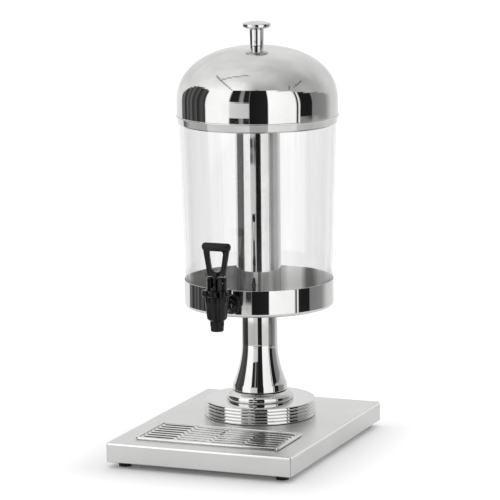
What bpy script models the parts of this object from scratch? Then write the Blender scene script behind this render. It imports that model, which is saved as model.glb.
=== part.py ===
# Juice dispenser for one drink: a clear tank in a steel ring on a pedestal, with an ice tube
# inside, a domed steel lid, a black tap and a drip tray let into the base plate.
# Metres, +Z up. The origin is on the table, under the middle of the base plate. The tap faces -Y.
import math

import bmesh
import bpy
from mathutils import Matrix, Vector

# Fits
GAP = 0.0003
OVERRUN = 0.002

# Base plate, folded from sheet
PLATE_WIDTH = 0.260
PLATE_DEPTH = 0.350
PLATE_SIDE = 0.0265
PLATE_SHEET = 0.0012
PLATE_BEND = 0.003
PLATE_CORNER = 0.0025
PLATE_CORNER_MIN = 0.0006
PLATE_SEAM = 0.0008
RETURN_MARGIN = 0.004

# Rubber feet and their screws
FOOT_HEIGHT = 0.0075
FOOT_RADIUS = 0.009
FOOT_TAPER = 0.0008
FOOT_INSET = 0.0190
FOOT_SCREW_RADIUS = 0.002
FOOT_HEAD_RADIUS = 0.0038
FOOT_HEAD_HEIGHT = 0.002
FOOT_HEAD_SINK = 0.0015
FOOT_NUT_WIDTH = 0.007
FOOT_NUT_HEIGHT = 0.003
FOOT_SCREW_TIP = 0.001

# Drip tray: a pan whose rolled rim lies on the plate, and a slotted grate inside it
TRAY_WIDTH = 0.203
TRAY_DEPTH = 0.095
TRAY_FRONT_STRIP = 0.028
TRAY_CORNER = 0.006
TRAY_RIM_WIDTH = 0.004
TRAY_RIM_HEIGHT = 0.0032
TRAY_SHEET = 0.0008
TRAY_LEDGE_WIDTH = 0.0025
TRAY_LEDGE_DROP = 0.004
TRAY_WELL_DEPTH = 0.013
GRATE_RISE = 0.0016
GRATE_BEND = 0.001
GRATE_CORNER = 0.003
SLOT_LENGTH = 0.042
SLOT_WIDTH = 0.0046
SLOT_COLUMNS = 4
SLOT_ROWS = 7
SLOT_COLUMN_PITCH = 0.0487
SLOT_ROW_PITCH = 0.0118

# Pedestal: ribbed plinth, ogee base and flared column, all on the body axis
AXIS_SETBACK = 0.050
PLINTH_RADIUS = 0.0755
RIB_COUNT = 5
RIB_PITCH = 0.0045
RIB_DEPTH = 0.0020
RIB_CREST_SHARES = (0.25, 0.75)
PLINTH_WALL = 0.0030
PLINTH_TOP_SHEET = 0.0015
OGEE_RADIUS = 0.0457
OGEE_BULGE_LEVEL = 0.0030
OGEE_FOOT_STEP = 0.0014
OGEE_HEIGHT = 0.0098
OGEE_COLLAR_RADIUS = 0.0330
OGEE_DEGREES = (0, 22, 45, 68, 90)
OGEE_COLLAR_HEIGHT = 0.0026
COLUMN_SHEET = 0.0012
COLUMN_LIP_RADIUS = 0.0375
COLUMN_LIP_HEIGHT = 0.0088
COLUMN_LIP_ROUND = 0.0010
COLUMN_FLARE_HEIGHT = 0.054
COLUMN_NECK_RADIUS = 0.0244
COLUMN_NECK_HEIGHT = 0.0535
FLARE_POWER_SHARE = 1.85

# Tie rod through the pedestal, with its nuts and washer
ROD_RADIUS = 0.004
ROD_END = 0.003
ROD_WASHER_RADIUS = 0.012
ROD_WASHER_HEIGHT = 0.0016
ROD_NUT_WIDTH = 0.013
ROD_NUT_HEIGHT = 0.0065
TANK_NUT_RADIUS = 0.016
TANK_NUT_HEIGHT = 0.008
TANK_NUT_CHAMFER = 0.001
TANK_GASKET_RADIUS = 0.019
TANK_GASKET_HEIGHT = 0.002

# Support ring, a shallow steel cup round the tank's foot
RING_RADIUS = 0.1012
RING_HEIGHT = 0.0363
RING_SHEET = 0.001
RING_BEND = 0.003

# Tank, clear plastic, a little wider at the top
TANK_BOTTOM_RADIUS = 0.0985
TANK_TOP_RADIUS = 0.1063
TANK_HEIGHT = 0.2513
TANK_WALL = 0.003
TANK_FLOOR = 0.004
TANK_FILLET = 0.0015

# Ice tube, standing on the tank's floor over the tank nut
ICE_RADIUS = 0.0302
ICE_SHEET = 0.001
ICE_LENGTH = 0.251
ICE_FLOOR_CLEARANCE = 0.003
ICE_BEAD = 0.0008

# Lid, a spun dome with a bead over a short skirt, and its inner seat ring
SKIRT_RADIUS = 0.1076
SKIRT_HEIGHT = 0.0085
SKIRT_OVERLAP = 0.0035
BEAD_RADIUS = 0.1098
BEAD_HEIGHT = 0.0022
BEAD_ROUND = 0.0007
DOME_RADIUS = 0.1088
DOME_WALL_HEIGHT = 0.0170
DOME_RISE = 0.0756
DOME_SHEET = 0.001
DOME_SIDE_SHARE = 2.24
DOME_CROWN_SHARE = 2.18
DOME_OUTER_DEGREES = (0, 9, 19, 31, 44, 57, 70, 82)
DOME_INNER_DEGREES = (0, 16, 34, 56, 78)
SEAT_RING_SHEET = 0.001
SEAT_RING_DROP = 0.006
SEAT_RING_PLAY = 0.0006

# Lid knob
KNOB_FOOT_RADIUS = 0.0094
KNOB_WAIST_RADIUS = 0.0095
KNOB_STEM_RADIUS = 0.0099
KNOB_STEM_HEIGHT = 0.021
KNOB_STEM_HEIGHT_SHARES = (0.25, 0.75)
KNOB_CAP_RADIUS = 0.0192
KNOB_CONE_HEIGHT = 0.0034
KNOB_EDGE_HEIGHT = 0.0048
KNOB_CROWN_HEIGHT = 0.0032
KNOB_CROWN_SHARES = (0.85, 0.6, 0.3)
KNOB_SCREW_RADIUS = 0.0025
KNOB_SCREW_GRIP = 0.012
KNOB_HEAD_RADIUS = 0.0048
KNOB_HEAD_HEIGHT = 0.0028
KNOB_WASHER_RADIUS = 0.008
KNOB_WASHER_HEIGHT = 0.001

# Tap: heights are from the axis of the shank, distances along Y from the tap's own axis
TAP_REACH = 0.0503
SHANK_RADIUS = 0.0076
SHANK_BORE = 0.0045
FLANGE_RADIUS = 0.0127
FLANGE_THICKNESS = 0.0028
TAP_GASKET_RADIUS = 0.0134
TAP_GASKET_THICKNESS = 0.0022
INNER_GASKET_RADIUS = 0.0107
INNER_GASKET_THICKNESS = 0.0026
TAP_NUT_WIDTH = 0.024
TAP_NUT_THICKNESS = 0.007
SHANK_END = 0.002
SPOUT_DROP = 0.027
SPOUT_RADIUS = 0.0088
SPOUT_TIP_RADIUS = 0.0080
SPOUT_ROUND = 0.0015
SPOUT_BORE = 0.005
SPOUT_LENGTH = 0.0150
BODY_SHOULDER = 0.0024
BODY_ROUND = 0.0008
BODY_LOW_RADIUS = 0.0125
BODY_TOP_RADIUS = 0.0150
BODY_RISE = 0.0196
BODY_LOBE_SHARE = 0.035
SEAT_DROP = 0.005
CHAMBER_RADIUS = 0.0093
CHAMBER_RISE = 0.0125
SOCKET_RADIUS = 0.0120
LOBES = 6
COLLAR_RADIUS = 0.0176
COLLAR_HEIGHT = 0.0086
COLLAR_ROUND = 0.002
COLLAR_LOBE_SHARE = 0.13
PLUG_DEPTH = 0.0065
TOWER_RADIUS = 0.01325
TOWER_HEIGHT = 0.0170
TOWER_ROUND = 0.0012
TOWER_SLOT = 0.0066
TOWER_SLOT_DEPTH = 0.0125
PIN_RADIUS = 0.0015
PIN_FORWARD = 0.006
PIN_DROP = 0.007
PIN_LENGTH = 0.0230

# Stem and seat cup
STEM_RADIUS = 0.0024
STEM_NECK_RADIUS = 0.0014
STEM_NECK_HEIGHT = 0.0068
STEM_CAP_RADIUS = 0.0028
STEM_CAP_HEIGHT = 0.0025
CUP_RADIUS = 0.0070
CUP_HEIGHT = 0.0078
CUP_SEAL_HEIGHT = 0.0025
CUP_SOCKET_DEPTH = 0.0045

# Handle: a fork and tongue on the pin, a neck, a loop and a round bar across the top
FORK_THICKNESS = 0.003
FORK_REACH = 0.0010
FORK_SLOT = 0.0034
FORK_MARGIN = 0.0001
HUB_RADIUS = 0.0032
TONGUE_HEIGHT = 0.0140
TONGUE_REAR_STEP = 0.0010
NECK_LIFT = 0.001
NECK_HALF_WIDTH = 0.0120
NECK_HEIGHT = 0.0042
LOOP_HALF_WIDTH = 0.0168
LOOP_HEIGHT = 0.0385
LOOP_DEPTH = 0.0080
LOOP_EDGE = 0.0012
EYE_HEIGHT = 0.0292
EYE_TOP_HALF_WIDTH = 0.0101
EYE_LOW_RADIUS = 0.0052
EYE_CORNER = 0.0034
BAR_RADIUS = 0.0056
BAR_HALF_LENGTH = 0.0198
BAR_ROUND = 0.0040

# Facets round a circle
LARGE_STEPS = 40
MEDIUM_STEPS = 32
LOBED_STEPS = 36
SMALL_STEPS = 20
TINY_STEPS = 12
CORNER_STEPS = 3
FLARE_STEPS = 6
SMOOTH_ANGLE = math.radians(35)

# Levels and places that follow from the sizes above
PLATE_TOP = FOOT_HEIGHT + PLATE_SIDE
RETURN_WIDTH = FOOT_INSET + FOOT_RADIUS + RETURN_MARGIN
PLINTH_BASE = PLATE_TOP + GAP
PLINTH_HEIGHT = RIB_COUNT * RIB_PITCH
OGEE_BASE = PLINTH_BASE + PLINTH_HEIGHT + GAP
OGEE_TOP = OGEE_HEIGHT + OGEE_COLLAR_HEIGHT
COLUMN_BASE = OGEE_BASE + OGEE_TOP + GAP
COLUMN_HEIGHT = COLUMN_LIP_HEIGHT + COLUMN_FLARE_HEIGHT + COLUMN_NECK_HEIGHT
RING_BASE = COLUMN_BASE + COLUMN_HEIGHT + GAP
TANK_BASE = RING_BASE + RING_SHEET + GAP
TANK_FLOOR_TOP = TANK_BASE + TANK_FLOOR
TANK_TOP = TANK_BASE + TANK_HEIGHT
TANK_GASKET_BASE = TANK_FLOOR_TOP + GAP
TANK_NUT_BASE = TANK_GASKET_BASE + TANK_GASKET_HEIGHT + GAP
ROD_TOP = TANK_NUT_BASE + TANK_NUT_HEIGHT + ROD_END
ROD_HOLE = ROD_RADIUS + GAP
WASHER_BASE = PLATE_TOP - PLATE_SHEET - GAP - ROD_WASHER_HEIGHT
ROD_NUT_BASE = WASHER_BASE - GAP - ROD_NUT_HEIGHT
ICE_BASE = TANK_FLOOR_TOP + GAP
ICE_FLOOR = ROD_TOP + ICE_FLOOR_CLEARANCE - ICE_BASE
LID_BASE = TANK_TOP - SKIRT_OVERLAP
DOME_EQUATOR = SKIRT_HEIGHT + BEAD_HEIGHT + DOME_WALL_HEIGHT
DOME_TOP = DOME_EQUATOR + DOME_RISE
KNOB_HOLE = KNOB_SCREW_RADIUS + GAP
KNOB_BASE = LID_BASE + DOME_TOP + GAP
KNOB_WASHER_BASE = LID_BASE + DOME_TOP - DOME_SHEET - 2 * GAP - KNOB_WASHER_HEIGHT
TAP_Y = AXIS_SETBACK - RING_RADIUS - TAP_REACH
TAP_Z = RING_BASE + RING_HEIGHT / 2
TRAY_Y = TRAY_FRONT_STRIP + (TRAY_DEPTH - PLATE_DEPTH) / 2
SHANK_HOLE = SHANK_RADIUS + GAP
COLLAR_BASE = BODY_RISE + GAP
TOWER_BASE = COLLAR_BASE + COLLAR_HEIGHT
TOWER_TOP = TOWER_BASE + TOWER_HEIGHT
PIN_Z = TOWER_TOP - PIN_DROP
CUP_BASE = GAP - SEAT_DROP
STEM_BASE = CUP_BASE + CUP_HEIGHT - CUP_SOCKET_DEPTH + GAP
FORK_TOP = PIN_Z + FORK_THICKNESS / 2
CAP_BASE = FORK_TOP + GAP
NECK_BASE = TOWER_TOP + NECK_LIFT


# Materials

def material(name, colour, roughness, metallic=0.0, alpha=1.0):
    """A plain Principled BSDF finish; colour is linear red, green and blue."""
    finish = bpy.data.materials.new(name)
    finish.use_nodes = True
    shader = finish.node_tree.nodes["Principled BSDF"]
    shader.inputs["Base Color"].default_value = (*colour, 1.0)
    shader.inputs["Roughness"].default_value = roughness
    shader.inputs["Metallic"].default_value = metallic
    shader.inputs["Alpha"].default_value = alpha
    return finish


def polished_steel():
    return material("polished_steel", (0.80, 0.80, 0.80), 0.06, metallic=1.0)


def satin_steel():
    return material("satin_steel", (0.62, 0.62, 0.63), 0.32, metallic=1.0)


def plain_steel():
    return material("plain_steel", (0.50, 0.50, 0.51), 0.40, metallic=1.0)


def clear_plastic():
    return material("clear_plastic", (0.90, 0.92, 0.92), 0.03, alpha=0.25)


def black_plastic():
    return material("black_plastic", (0.012, 0.012, 0.013), 0.28)


def black_rubber():
    return material("black_rubber", (0.015, 0.015, 0.015), 0.75)


def white_silicone():
    return material("white_silicone", (0.75, 0.74, 0.70), 0.55)


# Building helpers

def finish_object(name, bm, finish, place=(0, 0, 0)):
    """Turn a bmesh into a named object at its place, shaded smooth between its sharp edges."""
    bmesh.ops.recalc_face_normals(bm, faces=bm.faces)
    mesh = bpy.data.meshes.new(name)
    bm.to_mesh(mesh)
    bm.free()
    mesh.shade_smooth()
    mesh.set_sharp_from_angle(angle=SMOOTH_ANGLE)
    mesh.materials.append(finish)
    piece = bpy.data.objects.new(name, mesh)
    piece.location = place
    bpy.context.collection.objects.link(piece)
    return piece


def skin(bm, rings, closed):
    """Join rings of vertices one after the other with faces; closed also joins last to first."""
    pairs = list(zip(rings, rings[1:]))
    if closed:
        pairs.append((rings[-1], rings[0]))
    for low, high in pairs:
        count = max(len(low), len(high))
        for i in range(count):
            corners = [low[i % len(low)], low[(i + 1) % len(low)],
                       high[(i + 1) % len(high)], high[i % len(high)]]
            corners = list(dict.fromkeys(corners))
            bm.faces.new(corners)


def turned(outline, steps, lobe_shares=None, lobes=LOBES):
    """Turn an outline of (radius, height) points about +Z.

    A point at radius 0 is a pole. An outline with a pole at each end is closed on the axis;
    any other outline is closed on itself, round a bore. A lobe share swells its point's ring
    by that share of its radius, once for each lobe.
    """
    bm = bmesh.new()
    shares = lobe_shares or [0] * len(outline)
    rings = []
    for (radius, height), share in zip(outline, shares):
        if radius == 0:
            rings.append([bm.verts.new((0, 0, height))])
            continue
        ring = []
        for step in range(steps):
            angle = 2 * math.pi * step / steps
            reach = radius * (1 + share * math.cos(lobes * angle))
            ring.append(bm.verts.new((-reach * math.sin(angle), -reach * math.cos(angle), height)))
        rings.append(ring)
    skin(bm, rings, closed=outline[0][0] != 0)
    return bm


def round_rectangle(width, depth, corner, height):
    """Corner arcs of a rectangle with rounded corners, as points at one height."""
    points = []
    for quarter, (side_x, side_y) in enumerate(((1, 1), (-1, 1), (-1, -1), (1, -1))):
        centre_x = side_x * (width / 2 - corner)
        centre_y = side_y * (depth / 2 - corner)
        for step in range(CORNER_STEPS + 1):
            angle = math.pi / 2 * (quarter + step / CORNER_STEPS)
            points.append((centre_x + corner * math.cos(angle),
                           centre_y + corner * math.sin(angle), height))
    return points


def framed(outline, width, depth, corner):
    """Carry an outline of (inset, height) points round a rectangle and cap both its ends."""
    bm = bmesh.new()
    rings = []
    for inset, height in outline:
        left = max(corner - inset, PLATE_CORNER_MIN)
        points = round_rectangle(width - 2 * inset, depth - 2 * inset, left, height)
        rings.append([bm.verts.new(point) for point in points])
    skin(bm, rings, closed=False)
    bm.faces.new(rings[0])
    bm.faces.new(rings[-1])
    return bm


def slab(points, low, high, plane="XY"):
    """Extrude a flat outline from one level to another, square to the plane it is drawn in."""
    def place(a, b, level):
        return {"XY": (a, b, level), "XZ": (a, level, b), "YZ": (level, a, b)}[plane]
    bm = bmesh.new()
    bottom = [bm.verts.new(place(a, b, low)) for a, b in points]
    top = [bm.verts.new(place(a, b, high)) for a, b in points]
    skin(bm, [bottom, top], closed=False)
    bm.faces.new(bottom)
    bm.faces.new(top)
    return bm


def rectangle(low_a, high_a, low_b, high_b):
    return [(low_a, low_b), (high_a, low_b), (high_a, high_b), (low_a, high_b)]


def arc(centre_a, centre_b, radius, start, end, steps):
    """Points of an arc, its angles in degrees from the first axis."""
    points = []
    for step in range(steps + 1):
        angle = math.radians(start + (end - start) * step / steps)
        points.append((centre_a + radius * math.cos(angle), centre_b + radius * math.sin(angle)))
    return points


def hexagon(width):
    """Corners of a hexagon by its width across flats."""
    radius = width / 2 / math.cos(math.pi / 6)
    return arc(0, 0, radius, 0, 300, 5)


def laid_along_y(bm):
    """Tip a shape made along +Z so that it runs along +Y."""
    bmesh.ops.rotate(bm, verts=bm.verts, cent=(0, 0, 0), matrix=Matrix.Rotation(-math.pi / 2, 3, "X"))
    return bm


def laid_along_x(bm):
    """Tip a shape made along +Z so that it runs along +X."""
    bmesh.ops.rotate(bm, verts=bm.verts, cent=(0, 0, 0), matrix=Matrix.Rotation(math.pi / 2, 3, "Y"))
    return bm


def cylinder(radius, low, high, steps):
    return turned([(0, low), (radius, low), (radius, high), (0, high)], steps)


def helper(name, bm, place=(0, 0, 0)):
    """A cutter or joined shape, drawn as wire and left out of the finished part."""
    shape = finish_object(name, bm, bpy.data.materials["plain_steel"], place)
    shape.hide_render = True
    shape.hide_viewport = False
    shape.display_type = "WIRE"
    return shape


def combine(piece, other, operation):
    """Cut, join or keep the overlap of a piece with a helper shape."""
    step = piece.modifiers.new(operation.lower(), "BOOLEAN")
    step.operation = operation
    step.solver = "EXACT"
    step.object = other


def cut(piece, other):
    combine(piece, other, "DIFFERENCE")


def join(piece, other):
    combine(piece, other, "UNION")


def empty(name, place, parent=None):
    """A parent empty that carries what moves together."""
    point = bpy.data.objects.new(name, None)
    point.location = place
    point.parent = parent
    bpy.context.collection.objects.link(point)
    return point


# Base plate and its feet

def foot_places():
    """Name and centre of each foot, the same distance in from both edges of the plate."""
    x = PLATE_WIDTH / 2 - FOOT_INSET
    y = PLATE_DEPTH / 2 - FOOT_INSET
    return {"front_left": (-x, -y, 0), "front_right": (x, -y, 0),
            "back_left": (-x, y, 0), "back_right": (x, y, 0)}


def base_plate(finish):
    """Sheet folded down at the sides and in again underneath, open at its four corner seams."""
    low = FOOT_HEIGHT
    inner_bend = PLATE_BEND - PLATE_SHEET
    outer = arc(PLATE_BEND, PLATE_TOP - PLATE_BEND, PLATE_BEND, 90, 180, CORNER_STEPS)
    inner = arc(PLATE_BEND, PLATE_TOP - PLATE_BEND, inner_bend, 180, 90, CORNER_STEPS)
    outline = outer + [(0, low), (RETURN_WIDTH, low), (RETURN_WIDTH, low + PLATE_SHEET),
                       (PLATE_SHEET, low + PLATE_SHEET)] + inner
    piece = finish_object("base_plate", framed(outline, PLATE_WIDTH, PLATE_DEPTH, PLATE_CORNER), finish)

    seam_reach = 2 * PLATE_BEND
    for name, (x, y, _) in foot_places().items():
        side_x = math.copysign(1, x)
        side_y = math.copysign(1, y)
        seam = slab(rectangle(-seam_reach, seam_reach, -PLATE_SEAM / 2, PLATE_SEAM / 2),
                    low - OVERRUN, PLATE_TOP - PLATE_BEND)
        blade = helper("seam_" + name, seam, (side_x * PLATE_WIDTH / 2, side_y * PLATE_DEPTH / 2, 0))
        blade.rotation_euler.z = math.atan2(side_y, side_x)
        cut(piece, blade)
        hole = cylinder(FOOT_SCREW_RADIUS + GAP, low - OVERRUN, low + PLATE_SHEET + OVERRUN, TINY_STEPS)
        cut(piece, helper("foot_hole_" + name, hole, (x, y, 0)))

    sheet_low = PLATE_TOP - PLATE_SHEET - OVERRUN
    rod_hole = cylinder(ROD_HOLE, sheet_low, PLATE_TOP + OVERRUN, SMALL_STEPS)
    cut(piece, helper("plate_rod_hole", rod_hole, (0, AXIS_SETBACK, 0)))
    inset = tray_opening_inset()
    opening = round_rectangle(TRAY_WIDTH - 2 * inset, TRAY_DEPTH - 2 * inset, TRAY_CORNER - inset, 0)
    window = slab([(x, y) for x, y, _ in opening], sheet_low, PLATE_TOP + OVERRUN)
    cut(piece, helper("tray_opening", window, (0, TRAY_Y, 0)))
    return piece


def feet(rubber, steel):
    """A tapered rubber foot at each corner, held by a sunk pan-head screw and a nut."""
    hole = FOOT_SCREW_RADIUS + GAP
    recess = FOOT_HEAD_RADIUS + GAP
    recess_top = FOOT_HEAD_SINK + FOOT_HEAD_HEIGHT + GAP
    top = FOOT_HEIGHT - GAP
    nut_base = FOOT_HEIGHT + PLATE_SHEET + GAP
    screw_top = nut_base + FOOT_NUT_HEIGHT + FOOT_SCREW_TIP
    for name, place in foot_places().items():
        rubber_outline = [(recess, 0), (FOOT_RADIUS - FOOT_TAPER, 0), (FOOT_RADIUS, top), (hole, top),
                          (hole, recess_top), (recess, recess_top)]
        finish_object("foot_" + name, turned(rubber_outline, SMALL_STEPS), rubber, place)
        screw_outline = [(0, FOOT_HEAD_SINK), (FOOT_HEAD_RADIUS, FOOT_HEAD_SINK),
                         (FOOT_HEAD_RADIUS, FOOT_HEAD_SINK + FOOT_HEAD_HEIGHT),
                         (FOOT_SCREW_RADIUS, FOOT_HEAD_SINK + FOOT_HEAD_HEIGHT),
                         (FOOT_SCREW_RADIUS, screw_top), (0, screw_top)]
        finish_object("foot_screw_" + name, turned(screw_outline, TINY_STEPS), steel, place)
        nut("foot_nut_" + name, FOOT_NUT_WIDTH, hole, nut_base, FOOT_NUT_HEIGHT, steel, place)


def nut(name, width, hole, base, height, finish, place):
    """A hexagon nut standing on +Z, with a plain round hole."""
    piece = finish_object(name, slab(hexagon(width), base, base + height), finish, place)
    drill = cylinder(hole, base - OVERRUN, base + height + OVERRUN, TINY_STEPS)
    cut(piece, helper(name + "_hole", drill, place))
    return piece


# Drip tray

def tray_opening_inset():
    """How far inside the rim's outer edge the plate's opening lies, clear of the pan's wall."""
    return TRAY_RIM_WIDTH - TRAY_SHEET - GAP


def tray_pan(finish, carrier):
    """Pressed pan with a rolled rim on the plate, a ledge for the grate and a well below it."""
    rim_low = GAP
    rim_top = rim_low + TRAY_RIM_HEIGHT
    rim_round = TRAY_RIM_WIDTH / 2
    wall = TRAY_RIM_WIDTH
    ledge = TRAY_RIM_WIDTH + TRAY_LEDGE_WIDTH
    floor = -TRAY_WELL_DEPTH
    inner = [(ledge, floor), (ledge, -TRAY_LEDGE_DROP), (wall, -TRAY_LEDGE_DROP)]
    rim = [(wall, rim_top - rim_round / 2)]
    rim += arc(rim_round, rim_top - rim_round / 2, rim_round / 2, 60, 120, 2)
    rim += [(0, rim_top - rim_round / 2), (0, rim_low)]
    outer = [(wall - TRAY_SHEET, rim_low), (wall - TRAY_SHEET, -TRAY_LEDGE_DROP - TRAY_SHEET),
             (ledge - TRAY_SHEET, -TRAY_LEDGE_DROP - TRAY_SHEET), (ledge - TRAY_SHEET, floor - TRAY_SHEET)]
    bm = framed(inner + rim + outer, TRAY_WIDTH, TRAY_DEPTH, TRAY_CORNER)
    piece = finish_object("drip_tray_pan", bm, finish)
    piece.parent = carrier
    return piece


def tray_grate(finish, carrier):
    """Slotted plate with turned-down edges that stand on the pan's ledge."""
    inset = TRAY_RIM_WIDTH + GAP
    low = GAP - TRAY_LEDGE_DROP
    outline = arc(inset + GRATE_BEND, GRATE_RISE - GRATE_BEND, GRATE_BEND, 90, 180, 2)
    outline += [(inset, low), (inset + TRAY_SHEET, low), (inset + TRAY_SHEET, GRATE_RISE - TRAY_SHEET)]
    piece = finish_object("drip_grate", framed(outline, TRAY_WIDTH, TRAY_DEPTH, inset + GRATE_CORNER),
                          finish)
    piece.parent = carrier
    bm = bmesh.new()
    end = SLOT_LENGTH / 2 - SLOT_WIDTH / 2
    shape = arc(end, 0, SLOT_WIDTH / 2, -90, 90, 3) + arc(-end, 0, SLOT_WIDTH / 2, 90, 270, 3)
    for column in range(SLOT_COLUMNS):
        x = (column - (SLOT_COLUMNS - 1) / 2) * SLOT_COLUMN_PITCH
        for row in range(SLOT_ROWS):
            y = (row - (SLOT_ROWS - 1) / 2) * SLOT_ROW_PITCH
            low_ring = [bm.verts.new((x + a, y + b, GRATE_RISE - TRAY_SHEET - OVERRUN)) for a, b in shape]
            high_ring = [bm.verts.new((x + a, y + b, GRATE_RISE + OVERRUN)) for a, b in shape]
            skin(bm, [low_ring, high_ring], closed=False)
            bm.faces.new(low_ring)
            bm.faces.new(high_ring)
    slots = helper("grate_slots", bm)
    slots.parent = carrier
    cut(piece, slots)
    return piece


# Pedestal

def plinth(finish, place):
    """Ribbed round plinth, hollow and open below, its flat top bored for the tie rod."""
    outline = []
    groove = PLINTH_RADIUS - RIB_DEPTH
    for rib in range(RIB_COUNT):
        base = rib * RIB_PITCH
        outline.append((groove, base))
        outline += [(PLINTH_RADIUS, base + RIB_PITCH * share) for share in RIB_CREST_SHARES]
    inner = groove - PLINTH_WALL
    outline += [(groove, PLINTH_HEIGHT), (ROD_HOLE, PLINTH_HEIGHT),
                (ROD_HOLE, PLINTH_HEIGHT - PLINTH_TOP_SHEET), (inner, PLINTH_HEIGHT - PLINTH_TOP_SHEET),
                (inner, 0)]
    return finish_object("pedestal_plinth", turned(outline, MEDIUM_STEPS), finish, place)


def ogee_base(finish, place):
    """Spun cup that swells out over its foot and narrows to a collar that carries the column."""
    width = OGEE_RADIUS - OGEE_COLLAR_RADIUS
    height = OGEE_HEIGHT - OGEE_BULGE_LEVEL
    foot = OGEE_RADIUS - OGEE_FOOT_STEP
    outer = [(foot, 0)]
    inner = []
    for angle in OGEE_DEGREES:
        turn = math.radians(angle)
        across = OGEE_COLLAR_RADIUS + width * math.cos(turn)
        level = OGEE_BULGE_LEVEL + height * math.sin(turn)
        outer.append((across, level))
        inner.append((across - COLUMN_SHEET, level - COLUMN_SHEET * math.sin(turn)))
    outline = outer + [(OGEE_COLLAR_RADIUS, OGEE_TOP), (OGEE_COLLAR_RADIUS - COLUMN_SHEET, OGEE_TOP)]
    outline += inner[:0:-2] + [inner[0], (foot - COLUMN_SHEET, 0)]
    return finish_object("pedestal_base", turned(outline, MEDIUM_STEPS), finish, place)


def flare_radius(height):
    """Column radius above its lip: a power curve that narrows to the straight neck."""
    left = max(1 - (height - COLUMN_LIP_HEIGHT) / COLUMN_FLARE_HEIGHT, 0)
    return COLUMN_NECK_RADIUS + (COLUMN_LIP_RADIUS - COLUMN_NECK_RADIUS) * left ** FLARE_POWER_SHARE


def column(finish, place):
    """Spun trumpet with an upright lip, turned in at its foot to sit on the base's collar."""
    foot = OGEE_COLLAR_RADIUS - COLUMN_SHEET - GAP
    outer = [(foot, 0), (COLUMN_LIP_RADIUS - COLUMN_LIP_ROUND, 0),
             (COLUMN_LIP_RADIUS, COLUMN_LIP_ROUND)]
    levels = [COLUMN_LIP_HEIGHT + COLUMN_FLARE_HEIGHT * step / FLARE_STEPS
              for step in range(FLARE_STEPS + 1)]
    outer += [(flare_radius(level), level) for level in levels]
    outer += [(COLUMN_NECK_RADIUS, COLUMN_HEIGHT)]
    inner = [(COLUMN_NECK_RADIUS - COLUMN_SHEET, COLUMN_HEIGHT)]
    inner += [(flare_radius(level) - COLUMN_SHEET, level) for level in reversed(levels[::2])]
    inner += [(COLUMN_LIP_RADIUS - COLUMN_SHEET, COLUMN_SHEET), (foot, COLUMN_SHEET)]
    return finish_object("pedestal_column", turned(outer + inner, MEDIUM_STEPS), finish, place)


def tie_rod(finish):
    """Threaded rod from under the plate to the tank nut, with a washer and a nut below."""
    place = (0, AXIS_SETBACK, 0)
    low = ROD_NUT_BASE - ROD_END
    finish_object("tie_rod", cylinder(ROD_RADIUS, low, ROD_TOP, TINY_STEPS), finish, place)
    washer = [(ROD_HOLE, WASHER_BASE), (ROD_WASHER_RADIUS, WASHER_BASE),
              (ROD_WASHER_RADIUS, WASHER_BASE + ROD_WASHER_HEIGHT),
              (ROD_HOLE, WASHER_BASE + ROD_WASHER_HEIGHT)]
    finish_object("tie_rod_washer", turned(washer, SMALL_STEPS), finish, place)
    nut("tie_rod_nut", ROD_NUT_WIDTH, ROD_HOLE, ROD_NUT_BASE, ROD_NUT_HEIGHT, finish, place)


# Ring, tank and what clamps the tank down

def shank_drill(name, place):
    """Cutter for the tap's hole, through the front of whatever it is cut from."""
    reach = RING_RADIUS / 2
    return helper(name, laid_along_y(cylinder(SHANK_HOLE, -reach, reach, SMALL_STEPS)), place)


def support_ring(finish, place):
    """Shallow cup with a rounded bottom edge, bored for the tie rod and the tap."""
    bend_centre = RING_RADIUS - RING_BEND
    outline = [(ROD_HOLE, 0)] + arc(bend_centre, RING_BEND, RING_BEND, -90, 0, CORNER_STEPS)
    outline += [(RING_RADIUS, RING_HEIGHT), (RING_RADIUS - RING_SHEET, RING_HEIGHT)]
    outline += arc(bend_centre, RING_BEND, RING_BEND - RING_SHEET, 0, -90, CORNER_STEPS)
    outline += [(ROD_HOLE, RING_SHEET)]
    piece = finish_object("support_ring", turned(outline, LARGE_STEPS), finish, place)
    cut(piece, shank_drill("ring_tap_hole", (0, AXIS_SETBACK - RING_RADIUS, TAP_Z)))
    return piece


def tank_radius(height):
    """Outer radius of the tapered tank at a height above its own base."""
    return TANK_BOTTOM_RADIUS + (TANK_TOP_RADIUS - TANK_BOTTOM_RADIUS) * height / TANK_HEIGHT


def tank(finish, place):
    """Moulded clear tank, tapered, with a thick floor bored for the tie rod."""
    fillet_centre = TANK_BOTTOM_RADIUS - TANK_FILLET
    outline = [(ROD_HOLE, 0)] + arc(fillet_centre, TANK_FILLET, TANK_FILLET, -90, 0, 2)
    outline += [(TANK_TOP_RADIUS, TANK_HEIGHT), (TANK_TOP_RADIUS - TANK_WALL, TANK_HEIGHT)]
    inner_base = TANK_FLOOR + TANK_FILLET
    inner_radius = tank_radius(inner_base) - TANK_WALL
    outline += [(inner_radius, inner_base), (inner_radius - TANK_FILLET, TANK_FLOOR), (ROD_HOLE, TANK_FLOOR)]
    piece = finish_object("tank", turned(outline, LARGE_STEPS), finish, place)
    cut(piece, shank_drill("tank_tap_hole", (0, AXIS_SETBACK - RING_RADIUS, TAP_Z)))
    return piece


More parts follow.
